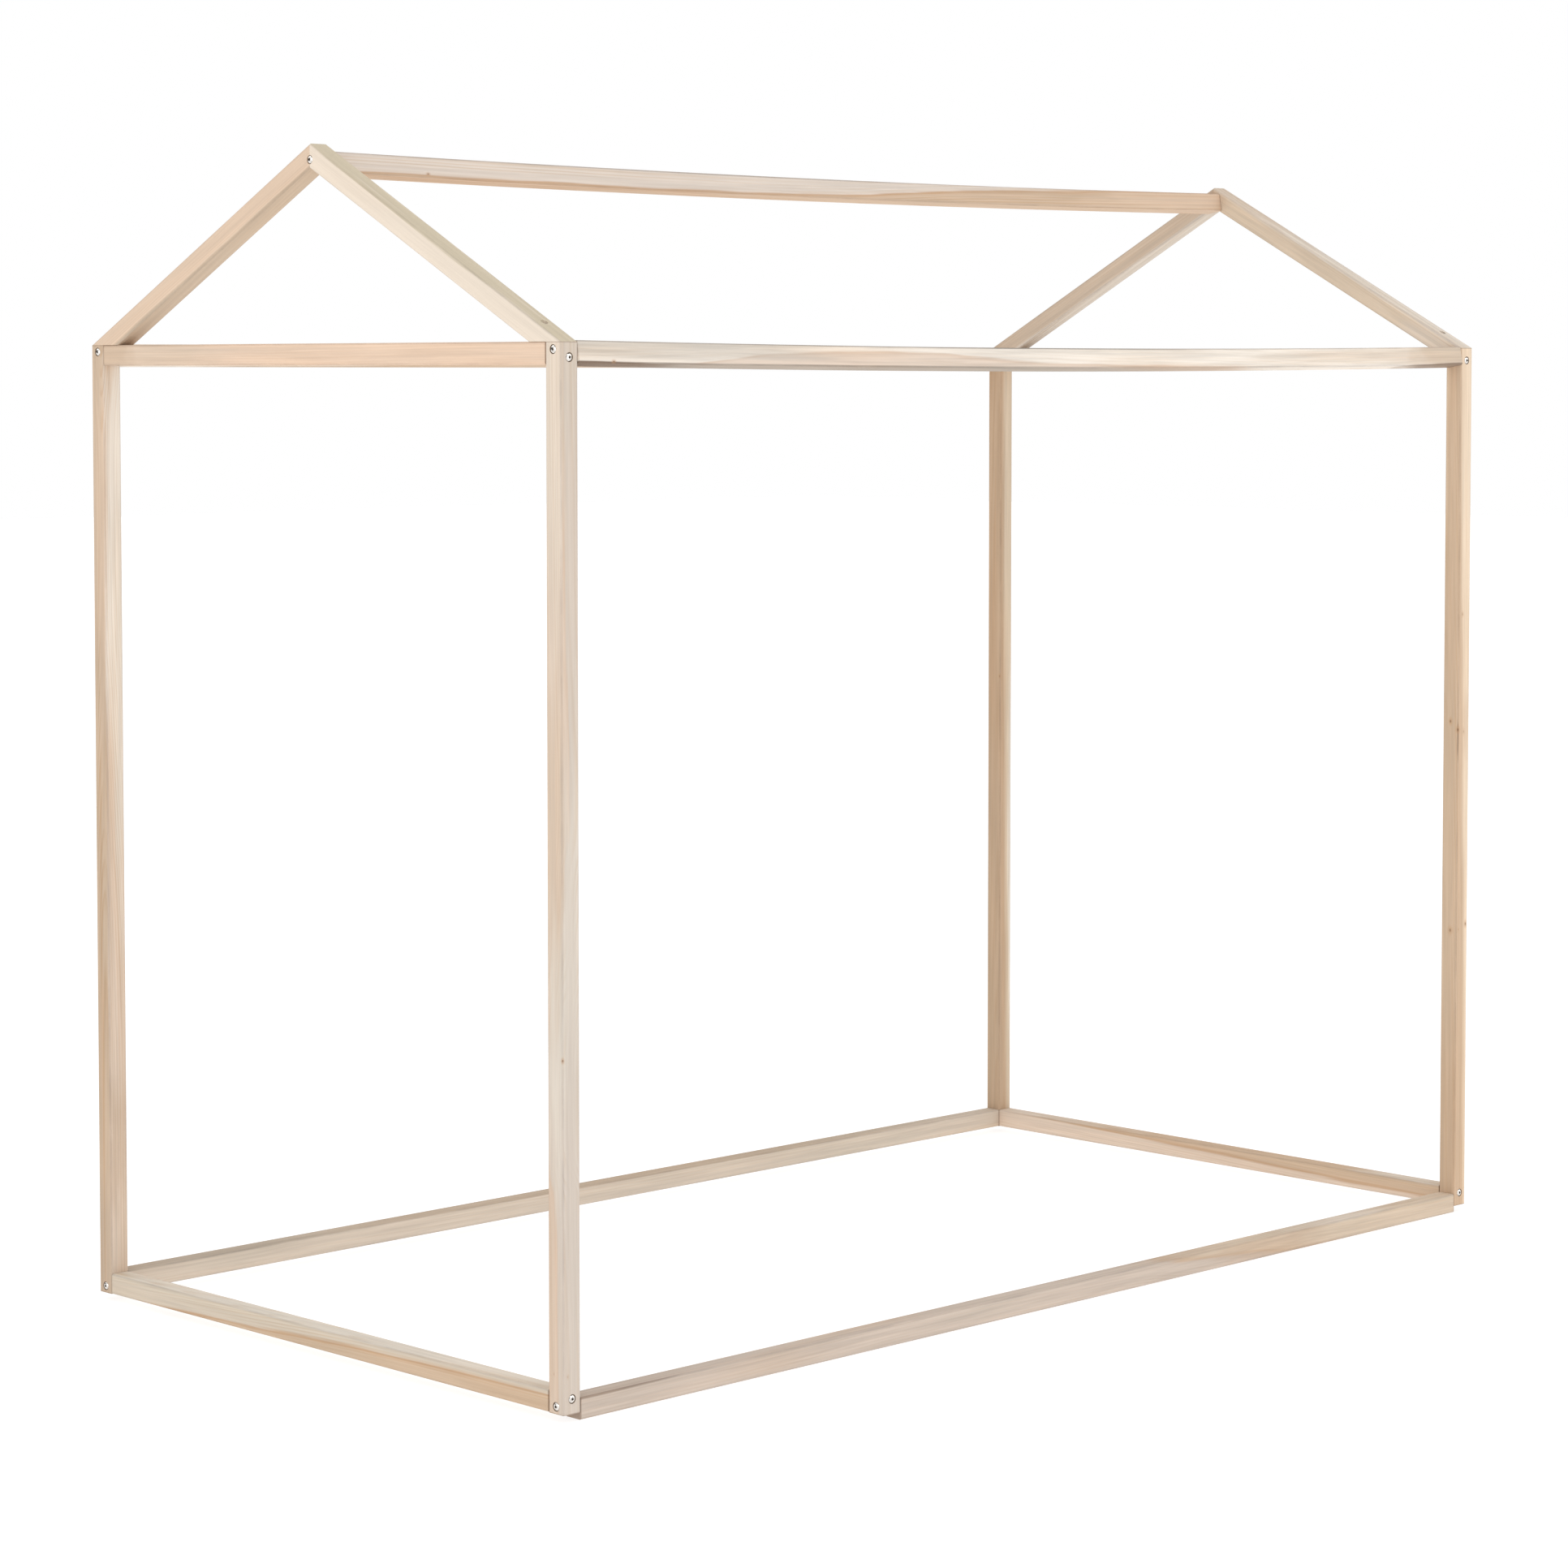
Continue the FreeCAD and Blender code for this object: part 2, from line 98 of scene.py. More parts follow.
# %% [markdown]
# ## Floor, background and light
#
# A product photograph like this has a white sweep of paper and big soft lamps. A white world,
# brighter overhead than at the horizon, gives the even light, and two large area lamps on the
# camera's side give the direction. A sun or a spot would be quicker to place, but both throw
# hard shadows. The screw heads are small mirrors, which look flat and lifeless in an all-white
# room. So glossy reflections see a room of bright and dark patches instead, and the camera
# itself sees plain white paper.

# %% Helpers for colours and shader nodes
def linear(red, green, blue):
    """A colour as seen on a screen, 0 to 255, turned into the linear values that shaders use."""
    values = []
    for level in (red, green, blue):
        part = level / 255
        values.append(part / 12.92 if part <= 0.04045 else ((part + 0.055) / 1.055) ** 2.4)
    return (*values, 1.0)


def add_node(tree, kind, inputs=None, **settings):
    """Add a shader node; inputs gives each socket a value, or another node's socket."""
    made = tree.nodes.new(kind)
    for key, value in settings.items():
        setattr(made, key, value)
    for key, value in (inputs or {}).items():
        if isinstance(value, bpy.types.NodeSocket):
            tree.links.new(value, made.inputs[key])
        else:
            made.inputs[key].default_value = value
    return made


def connect(tree, source, target):
    """Link an output socket to an input socket."""
    tree.links.new(source, target)


def maths(tree, operation, first, second=0.0, third=0.0):
    """The result of a Math node; each input is a value or a socket."""
    inputs = {0: first, 1: second}
    if operation == "MULTIPLY_ADD":
        inputs[2] = third
    return add_node(tree, "ShaderNodeMath", inputs, operation=operation).outputs[0]


def ramp_between(tree, value, low, high, to_low=0.0, to_high=1.0):
    """Soft step: to_low up to low, to_high from high on."""
    node = add_node(tree, "ShaderNodeMapRange", {0: value, 1: low, 2: high, 3: to_low, 4: to_high},
                    interpolation_type="SMOOTHSTEP")
    return node.outputs[0]


def mix_colours(tree, factor, first, second, blend="MIX"):
    """The colour from a Mix node: sockets 0, 6 and 7 are its factor and its two colours."""
    node = add_node(tree, "ShaderNodeMix", data_type="RGBA", blend_type=blend)
    for key, value in ((0, factor), (6, first), (7, second)):
        if isinstance(value, bpy.types.NodeSocket):
            tree.links.new(value, node.inputs[key])
        else:
            node.inputs[key].default_value = value
    return node.outputs[2]


# %% Background
WHITE = (1, 1, 1, 1)
SKY_STRENGTH = (0.63, 1.02)      # at the horizon, and overhead
ROOM_STRENGTH = (0.03, 1.6)      # the dark and the bright patches that the steel mirrors

world = bpy.data.worlds.new("Studio")
bpy.context.scene.world = world
world.use_nodes = True
sky = world.node_tree
rays = add_node(sky, "ShaderNodeLightPath").outputs
toward = add_node(sky, "ShaderNodeTexCoord").outputs["Generated"]
height = add_node(sky, "ShaderNodeSeparateXYZ", {0: toward}).outputs[2]
even_light = sky.nodes["Background"]
even_light.inputs["Color"].default_value = WHITE
connect(sky, ramp_between(sky, height, 0.1, 0.9, *SKY_STRENGTH), even_light.inputs["Strength"])
patches = add_node(sky, "ShaderNodeTexNoise", {"Vector": toward, "Scale": 2.1, "Detail": 0.0})
patch_strength = ramp_between(sky, patches.outputs[0], 0.48, 0.53, *ROOM_STRENGTH)
room = add_node(sky, "ShaderNodeBackground", {"Color": WHITE, "Strength": patch_strength})
backdrop = add_node(sky, "ShaderNodeBackground", {"Color": WHITE, "Strength": 1.0})
mirrored = add_node(sky, "ShaderNodeMixShader", {0: rays["Is Glossy Ray"], 1: even_light.outputs[0],
                                                 2: room.outputs[0]})
choice = add_node(sky, "ShaderNodeMixShader", {0: rays["Is Camera Ray"], 1: mirrored.outputs[0],
                                               2: backdrop.outputs[0]})
connect(sky, choice.outputs[0], sky.nodes["World Output"].inputs["Surface"])
print("the room has", len(sky.nodes), "nodes")

# %% Floor
FLOOR_SIDE = 60
FLOOR_GAP = 0.0005               # between the paper and the bed, so that their faces never merge
PAPER_TONE = (0.3, 0.3, 0.3, 1)
PAPER_GLOW = 0.8                 # light of its own keeps the paper white, with little shadow

bpy.ops.mesh.primitive_plane_add(size=FLOOR_SIDE, location=(0, 0, -FLOOR_GAP))
floor = bpy.context.object
floor.name = "studio_floor"
paper = bpy.data.materials.new("studio_paper")
paper.use_nodes = True
paper_shader = paper.node_tree.nodes["Principled BSDF"]
paper_shader.inputs["Base Color"].default_value = PAPER_TONE
paper_shader.inputs["Roughness"].default_value = 0.9
paper_shader.inputs["Emission Color"].default_value = WHITE
paper_shader.inputs["Emission Strength"].default_value = PAPER_GLOW
floor.data.materials.append(paper)
floor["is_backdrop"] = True
print("paper", FLOOR_SIDE, "m square")

# %% Lamps
LAMP_WIDTH = 3.5
LAMP_TARGET = (0, 0, 1.0)        # a little above the middle of the bed


def add_softbox(name, place, target, width, power):
    """Large square lamp at a place, facing a target; its power is in watts."""
    light = bpy.data.lights.new(name, "AREA")
    light.shape = "SQUARE"
    light.size = width
    light.energy = power
    lamp = bpy.data.objects.new(name, light)
    lamp.location = place
    aim = Vector(target) - Vector(place)
    lamp.rotation_euler = aim.to_track_quat("-Z", "Y").to_euler()
    bpy.context.scene.collection.objects.link(lamp)
    print(name, "at", place, "power", power)


add_softbox("softbox_right", (1.5, -7.0, 1.5), LAMP_TARGET, LAMP_WIDTH, 66)
add_softbox("softbox_left", (-7.0, -1.5, 1.5), LAMP_TARGET, LAMP_WIDTH, 55)
bpy.context.scene.view_settings.view_transform = "Standard"

# %% [markdown]
# ## Softwood, as a solid
#
# A stick of pine is cut out of a tree, so its figure is a slice through the tree's growth
# rings: straight lines where the saw ran across the rings, long flames where it only grazed
# them, arcs on the end grain. A flat picture of grain can't agree on all six faces. So the
# material works in space: it knows where the heart of the tree was, measures the distance from
# it, and draws a ring at every step. Every stick gets its own heart, ring width and tones.
# A knot is a small dark core in an amber rim, and it pushes the rings round itself aside.


# %% Group: one knot
def new_group(name, inputs, outputs):
    """A node group with named sockets: each input is (name, type, default)."""
    group = bpy.data.node_groups.new(name, "ShaderNodeTree")
    for label, kind, default in inputs:
        socket = group.interface.new_socket(label, in_out="INPUT", socket_type="NodeSocket" + kind)
        socket.default_value = default
    for label, kind in outputs:
        group.interface.new_socket(label, in_out="OUTPUT", socket_type="NodeSocket" + kind)
    given = group.nodes.new("NodeGroupInput").outputs
    result = group.nodes.new("NodeGroupOutput").inputs
    return group, given, result


knot_group, given, result = new_group(
    "Knot",
    [("Vector", "Vector", (0, 0, 0)), ("Place", "Vector", (0, 0, 0)), ("Radius", "Float", 0.002),
     ("Stretch", "Float", 1.6)],
    [("Core", "Float"), ("Rim", "Float"), ("Bulge", "Float")])
away = add_node(knot_group, "ShaderNodeVectorMath", {0: given["Vector"], 1: given["Place"]},
                operation="SUBTRACT").outputs[0]
parts = add_node(knot_group, "ShaderNodeSeparateXYZ", {0: away}).outputs
squeezed = maths(knot_group, "DIVIDE", parts[0], given["Stretch"])
rebuilt = add_node(knot_group, "ShaderNodeCombineXYZ", {0: squeezed, 1: parts[1], 2: parts[2]})
reach = add_node(knot_group, "ShaderNodeVectorMath", {0: rebuilt.outputs[0]}, operation="LENGTH")
radii = maths(knot_group, "DIVIDE", reach.outputs["Value"], given["Radius"])
connect(knot_group, ramp_between(knot_group, radii, 0.3, 1.15, 1.0, 0.0), result["Core"])
connect(knot_group, ramp_between(knot_group, radii, 0.9, 3.2, 1.0, 0.0), result["Rim"])
swell = maths(knot_group, "MULTIPLY", maths(knot_group, "MULTIPLY", radii, radii), -0.12)
spread = maths(knot_group, "EXPONENT", swell)
connect(knot_group, maths(knot_group, "MULTIPLY", spread, given["Radius"]), result["Bulge"])
print("group", knot_group.name)

# %% Group: growth rings, fibres and tones
LATE_TINT = (0.80, 0.66, 0.50, 1)     # the dense part of a ring, as a filter on the stick's tone
BLUSH_TINT = (1.0, 0.95, 0.90, 1)     # warm streaks
ASH_TINT = (0.95, 0.965, 0.965, 1)    # greyer streaks

wood_group, given, result = new_group(
    "Softwood",
    [("Vector", "Vector", (0, 0, 0)), ("Heart Y", "Float", 0.03), ("Heart Z", "Float", 0.05),
     ("Ring Width", "Float", 0.0035), ("Wander", "Float", 0.012), ("Taper", "Float", 0.006),
     ("Bulge", "Float", 0.0), ("Figure", "Float", 0.5), ("Wood", "Color", (0.8, 0.65, 0.5, 1)),
     ("Streaks", "Float", 0.4), ("Seed", "Float", 0.0)],
    [("Color", "Color"), ("Height", "Float"), ("Late", "Float")])
tree = wood_group
parts = add_node(tree, "ShaderNodeSeparateXYZ", {0: given["Vector"]}).outputs
along, side, up = parts[0], parts[1], parts[2]


def stretched_noise(along_scale, cross_scale, detail, offset):
    """Noise drawn out along the grain: scales are per metre."""
    x = maths(tree, "MULTIPLY_ADD", along, along_scale, maths(tree, "ADD", given["Seed"], offset))
    y = maths(tree, "MULTIPLY", side, cross_scale)
    z = maths(tree, "MULTIPLY", up, cross_scale)
    place = add_node(tree, "ShaderNodeCombineXYZ", {0: x, 1: y, 2: z}).outputs[0]
    return add_node(tree, "ShaderNodeTexNoise", {"Vector": place, "Scale": 1.0, "Detail": detail,
                                                 "Roughness": 0.55})


drift = stretched_noise(along_scale=1.1, cross_scale=6.0, detail=2.0, offset=11.3)
drift_parts = add_node(tree, "ShaderNodeSeparateXYZ", {0: drift.outputs["Color"]}).outputs
across = []
for coordinate, heart, wave in ((side, given["Heart Y"], drift_parts[0]),
                                (up, given["Heart Z"], drift_parts[1])):
    shift = maths(tree, "MULTIPLY", maths(tree, "SUBTRACT", wave, 0.5), given["Wander"])
    across.append(maths(tree, "ADD", maths(tree, "SUBTRACT", coordinate, heart), shift))
from_heart = add_node(tree, "ShaderNodeCombineXYZ", {0: 0.0, 1: across[0], 2: across[1]})
radius = add_node(tree, "ShaderNodeVectorMath", {0: from_heart.outputs[0]}, operation="LENGTH")
radius = maths(tree, "MULTIPLY_ADD", along, given["Taper"], radius.outputs["Value"])
radius = maths(tree, "ADD", radius, given["Bulge"])
ring_place = add_node(tree, "ShaderNodeCombineXYZ",
                      {0: maths(tree, "MULTIPLY", radius, 90.0), 1: given["Seed"]}).outputs[0]
uneven = add_node(tree, "ShaderNodeTexNoise",
                  {"Vector": ring_place, "Scale": 1.0, "Detail": 1.0}).outputs[0]
rings = maths(tree, "DIVIDE", radius, given["Ring Width"])
rings = maths(tree, "MULTIPLY_ADD", uneven, 2.6, rings)
ring = maths(tree, "FRACT", rings)
late = maths(tree, "MULTIPLY", ramp_between(tree, ring, 0.25, 0.8),
             ramp_between(tree, ring, 0.8, 1.0, 1.0, 0.0))
# Four sizes of streak: single fibres, threads, bands, and broad clouds of colour.
fibres = stretched_noise(along_scale=11.0, cross_scale=1100.0, detail=3.0, offset=3.1).outputs[0]
threads = stretched_noise(along_scale=5.0, cross_scale=170.0, detail=5.0, offset=5.3).outputs[0]
bands = stretched_noise(along_scale=0.9, cross_scale=70.0, detail=3.0, offset=7.7).outputs[0]
clouds = stretched_noise(along_scale=1.6, cross_scale=22.0, detail=2.0, offset=19.4).outputs[0]
figure = maths(tree, "MULTIPLY", late, maths(tree, "MULTIPLY", given["Figure"],
                                             ramp_between(tree, bands, 0.35, 0.7, 0.1, 0.8)))
colour = mix_colours(tree, 1.0, given["Wood"], LATE_TINT, "MULTIPLY")
colour = mix_colours(tree, figure, given["Wood"], colour)
blush = maths(tree, "MULTIPLY", ramp_between(tree, clouds, 0.5, 0.72), given["Streaks"])
colour = mix_colours(tree, blush, colour, mix_colours(tree, 1.0, colour, BLUSH_TINT, "MULTIPLY"))
bleach = maths(tree, "MULTIPLY", ramp_between(tree, clouds, 0.48, 0.3), given["Streaks"])
colour = mix_colours(tree, bleach, colour, mix_colours(tree, 1.0, colour, ASH_TINT, "MULTIPLY"))
shade = ramp_between(tree, bands, 0.25, 0.75, 0.95, 1.02)
shade = maths(tree, "MULTIPLY", shade, ramp_between(tree, fibres, 0.25, 0.75, 0.96, 1.03))
thread_low = maths(tree, "MULTIPLY_ADD", given["Streaks"], -0.11, 1.0)
thread_high = maths(tree, "MULTIPLY_ADD", given["Streaks"], 0.06, 1.0)
thread_shade = ramp_between(tree, threads, 0.3, 0.68, thread_low, thread_high)
shade = maths(tree, "MULTIPLY", shade, thread_shade)
grey = add_node(tree, "ShaderNodeCombineColor", {0: shade, 1: shade, 2: shade}).outputs[0]
colour = mix_colours(tree, 1.0, colour, grey, "MULTIPLY")
connect(tree, colour, result["Color"])
height = maths(tree, "MULTIPLY_ADD", late, 0.5, maths(tree, "MULTIPLY", fibres, 0.6))
connect(tree, height, result["Height"])
connect(tree, late, result["Late"])
print("group", wood_group.name, len(wood_group.nodes), "nodes")

# %% [markdown]
# ## Heartwood, sapwood and stains
#
# Most of these sticks were cut where the tree's dark heart meets its pale outer wood, and the
# border wanders through them as long tongues. Random noise would put such tongues anywhere.
# Here each stick gets a heart line instead: a curve that says, for every place along the
# stick, how far the heart reaches across it. Smaller stains, and a few patches of painted
# shade, are soft, ragged ovals.


# %% Group: heart border
RAGGED = 0.012                   # how wide the band is that the border wanders in, at most

border_group, given, result = new_group(
    "Heart border",
    [("Vector", "Vector", (0, 0, 0)), ("Away", "Vector", (0, 0, 1)), ("Level", "Float", 0.0),
     ("Softness", "Float", 0.003), ("Seed", "Float", 0.0)],
    [("Heart", "Float"), ("Edge", "Float")])
tree = border_group
parts = add_node(tree, "ShaderNodeSeparateXYZ", {0: given["Vector"]}).outputs
drawn = add_node(tree, "ShaderNodeCombineXYZ", {
    0: maths(tree, "MULTIPLY_ADD", parts[0], 4.0, given["Seed"]),
    1: maths(tree, "MULTIPLY", parts[1], 120.0), 2: maths(tree, "MULTIPLY", parts[2], 120.0)})
ragged = add_node(tree, "ShaderNodeTexNoise",
                  {"Vector": drawn.outputs[0], "Scale": 1.0, "Detail": 3.0}).outputs[0]
ragged = maths(tree, "MULTIPLY", maths(tree, "SUBTRACT", ragged, 0.5), RAGGED)
reach = add_node(tree, "ShaderNodeVectorMath", {0: given["Vector"], 1: given["Away"]},
                 operation="DOT_PRODUCT").outputs["Value"]
depth = maths(tree, "ADD", maths(tree, "SUBTRACT", given["Level"], reach), ragged)
inside = maths(tree, "DIVIDE", depth, given["Softness"])
connect(tree, ramp_between(tree, inside, -1.0, 1.0), result["Heart"])
off_line = maths(tree, "SUBTRACT", inside, 0.6)
off_line = maths(tree, "MULTIPLY", off_line, off_line)
connect(tree, maths(tree, "EXPONENT", maths(tree, "MULTIPLY", off_line, -0.9)), result["Edge"])
print("group", border_group.name)

# %% Group: stain, also used for painted shade
stain_and_shade_group, given, result = new_group(
    "Stain and shade",
    [("Vector", "Vector", (0, 0, 0)), ("Place", "Vector", (0, 0, 0)),
     ("Size", "Vector", (0.1, 0.01, 0.01)), ("Strength", "Float", 0.5)],
    [("Mask", "Float")])
tree = stain_and_shade_group
away = add_node(tree, "ShaderNodeVectorMath", {0: given["Vector"], 1: given["Place"]},
                operation="SUBTRACT").outputs[0]
scaled = add_node(tree, "ShaderNodeVectorMath", {0: away, 1: given["Size"]},
                  operation="DIVIDE").outputs[0]
reach = add_node(tree, "ShaderNodeVectorMath", {0: scaled}, operation="LENGTH").outputs["Value"]
ragged = add_node(tree, "ShaderNodeTexNoise",
                  {"Vector": scaled, "Scale": 1.7, "Detail": 2.0}).outputs[0]
reach = maths(tree, "MULTIPLY_ADD", maths(tree, "SUBTRACT", ragged, 0.5), 1.2, reach)
inside = ramp_between(tree, reach, 0.45, 1.15, 1.0, 0.0)
connect(tree, maths(tree, "MULTIPLY", inside, given["Strength"]), result["Mask"])
print("group", stain_and_shade_group.name)

# %% [markdown]
# ## Marks of the workshop, and painted shade
#
# Wherever a stick was handled or cut it looks a little different. The rounded arrises are
# greyer in patches: partly rubbed wear, partly painted shade where the faces turn from the
# light. The sawn ends are darker, partly because end grain drinks light and dirt, partly as a
# painted shadow, and that draws a fine line where one stick meets the next. Whatever lies below
# the flat faces is the wall of a drilled hole, and gets painted shade. These marks depend only
# on the place across and along the stick, so one group serves every stick.

# %% Group: arrises, sawn ends and drilled holes, with their painted shade
# Greyer arrises: partly rubbed wear, partly painted shade where the faces turn from the light.
ARRIS_WEAR_AND_SHADE_TINT = (0.76, 0.76, 0.78, 1)
# Sawn ends: end grain, darker in itself, and painted shadow for the line where sticks meet.
END_GRAIN_AND_SHADE_TONE = linear(118, 90, 66)
# Painted shade for the walls of the drilled screw seats.
SEAT_SHADE_TONE = linear(158, 136, 114)

marks_group, given, result = new_group(
    "Timber marks and painted shade",
    [("Vector", "Vector", (0, 0, 0)), ("Half Side", "Float", 0.016), ("Half Length", "Float", 1.0),
     ("Color", "Color", (0.8, 0.7, 0.6, 1)), ("Wear And Shade", "Float", 0.7), ("Cut", "Float", 0.4),
     ("Seat Shade", "Float", 1.0)],
    [("Color", "Color")])
tree = marks_group
parts = add_node(tree, "ShaderNodeSeparateXYZ", {0: given["Vector"]}).outputs
sides = [maths(tree, "ABSOLUTE", parts[i]) for i in (1, 2)]
lesser = maths(tree, "MINIMUM", sides[0], sides[1])
inset = maths(tree, "SUBTRACT", given["Half Side"], lesser)
# Painted shade along the arrises, mixed with rubbed wear in patches.
arris = ramp_between(tree, inset, 0.0012, 0.0036, 1.0, 0.0)
patchy = add_node(tree, "ShaderNodeTexNoise", {"Vector": given["Vector"], "Scale": 22.0,
                                               "Detail": 3.0}).outputs[0]
wear_and_shade = maths(tree, "MULTIPLY", arris, maths(tree, "MULTIPLY", given["Wear And Shade"],
                                              ramp_between(tree, patchy, 0.3, 0.7, 0.4, 1.0)))
wear_and_shade_colour = mix_colours(tree, 1.0, given["Color"], ARRIS_WEAR_AND_SHADE_TINT, "MULTIPLY")
colour = mix_colours(tree, wear_and_shade, given["Color"], wear_and_shade_colour)
# Ends darkened over the last millimetre or two: partly end grain, partly painted shadow at the joints.
to_end = maths(tree, "SUBTRACT", given["Half Length"], maths(tree, "ABSOLUTE", parts[0]))
ragged = maths(tree, "MULTIPLY_ADD", patchy, -0.0012, to_end)
cut = maths(tree, "MULTIPLY", ramp_between(tree, ragged, -0.0004, 0.0016, 1.0, 0.0), given["Cut"])
colour = mix_colours(tree, cut, colour, END_GRAIN_AND_SHADE_TONE)
# Below the flat faces lie the walls of the drilled screw seats; they get painted shade.
greater = maths(tree, "MAXIMUM", sides[0], sides[1])
below = ramp_between(tree, maths(tree, "SUBTRACT", given["Half Side"], greater), 0.0001, 0.0004)
flat = ramp_between(tree, inset, 0.0031, 0.0034)
seat_shade = maths(tree, "MULTIPLY", maths(tree, "MULTIPLY", below, flat), given["Seat Shade"])
seat_shade = maths(tree, "MULTIPLY", seat_shade, ramp_between(tree, to_end, 0.0004, 0.0008))
colour = mix_colours(tree, seat_shade, colour, SEAT_SHADE_TONE)
connect(tree, colour, result["Color"])
print("group", marks_group.name)

# %% [markdown]
# ## A material for each stick
#
# A Mapping node lays every stick's coordinates along its own grain: x along it, y and z
# across, zero in its middle. After that the same groups serve posts, rails, rafters and ridge
# alike, and only their values differ. Three beams have rolled about their screws, which sit
# off the middle of the stick, so their grain is turned and moved with them.


# %% Grain directions
HALF_SIDE = 0.016                # of the timber's square section
SAGS = {"top_rail_front": 0.007, "ridge_beam": 0.007}      # in the middle of the beam
ROLL = math.radians(10)
SCREW_OFFSET = 0.0055            # from a rolled beam's middle to the screws that it rolls about
TOP_SCREW_LEVEL = 1.4925
RIDGE_SCREW_LEVEL = 1.7715
RAIL_SCREW_Y = 0.536
ROLLED = {                       # roll, and the y and z of the line through its screws
    "top_rail_front": (ROLL, -RAIL_SCREW_Y, TOP_SCREW_LEVEL),
    "top_rail_back": (-ROLL, RAIL_SCREW_Y, TOP_SCREW_LEVEL),
    "ridge_beam": (ROLL, 0.0, RIDGE_SCREW_LEVEL),
}
ROOF_RISE, HALF_WIDTH = 0.292, 0.552
SLOPE = math.atan2(ROOF_RISE, HALF_WIDTH)
RAFTER_REACH = 1.0               # beyond a rafter's ends, so that its mitres show no dark end line of end grain and painted shade


def lay(name):
    """(turn, centre, half length) that bring a stick's own grain onto x."""
    low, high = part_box(name)
    centre = (low + high) / 2
    extent = (high - low) / 2
    if name.startswith("post"):
        return Euler((0, math.radians(90), 0)), centre, extent.z
    if name.startswith("rafter"):
        lean = -SLOPE if name.endswith("front") else SLOPE
        to_axis = Vector((0, -math.sin(lean), -math.cos(lean))) * HALF_SIDE
        turn = Euler((lean, 0, math.copysign(math.radians(90), lean)))
        return turn, centre + to_axis, RAFTER_REACH
    if name.endswith(("left", "right")):
        return Euler((0, 0, math.radians(-90))), centre, extent.y
    if name not in ROLLED:
        return Euler((0, 0, 0)), centre, extent.x
    roll, screw_y, screw_z = ROLLED[name]
    below_screw = Vector((0, 0, -SCREW_OFFSET))
    below_screw.rotate(Euler((-roll, 0, 0)))
    return Euler((roll, 0, 0)), Vector((0, screw_y, screw_z)) + below_screw, extent.x


print("a post is turned by", [round(math.degrees(v)) for v in lay("post_front_left")[0]])

# %% Palette
# Tones of bare softwood, from its palest outer wood down to the dark round a knot.
TONES = {
    "cream": linear(242, 231, 217),
    "ivory": linear(239, 225, 209),
    "milk": linear(232, 222, 209),
    "shell": linear(225, 213, 200),
    "pearl": linear(220, 208, 196),
    "ash": linear(211, 197, 183),
    "moss": linear(215, 202, 178),
    "drift": linear(217, 207, 194),
    "birch": linear(216, 203, 186),
    "sand": linear(219, 201, 179),
    "straw": linear(238, 219, 196),
    "peach": linear(239, 213, 189),
    "rose": linear(230, 205, 183),
    "oat": linear(227, 208, 190),
    "honey": linear(222, 199, 175),
    "tan": linear(212, 187, 161),
    "dun": linear(207, 187, 166),
    "fawn": linear(200, 174, 148),
    "amber": linear(192, 150, 110),
    "slate": linear(158, 146, 132),
    "umber": linear(132, 108, 88),
}
print("tones", len(TONES))

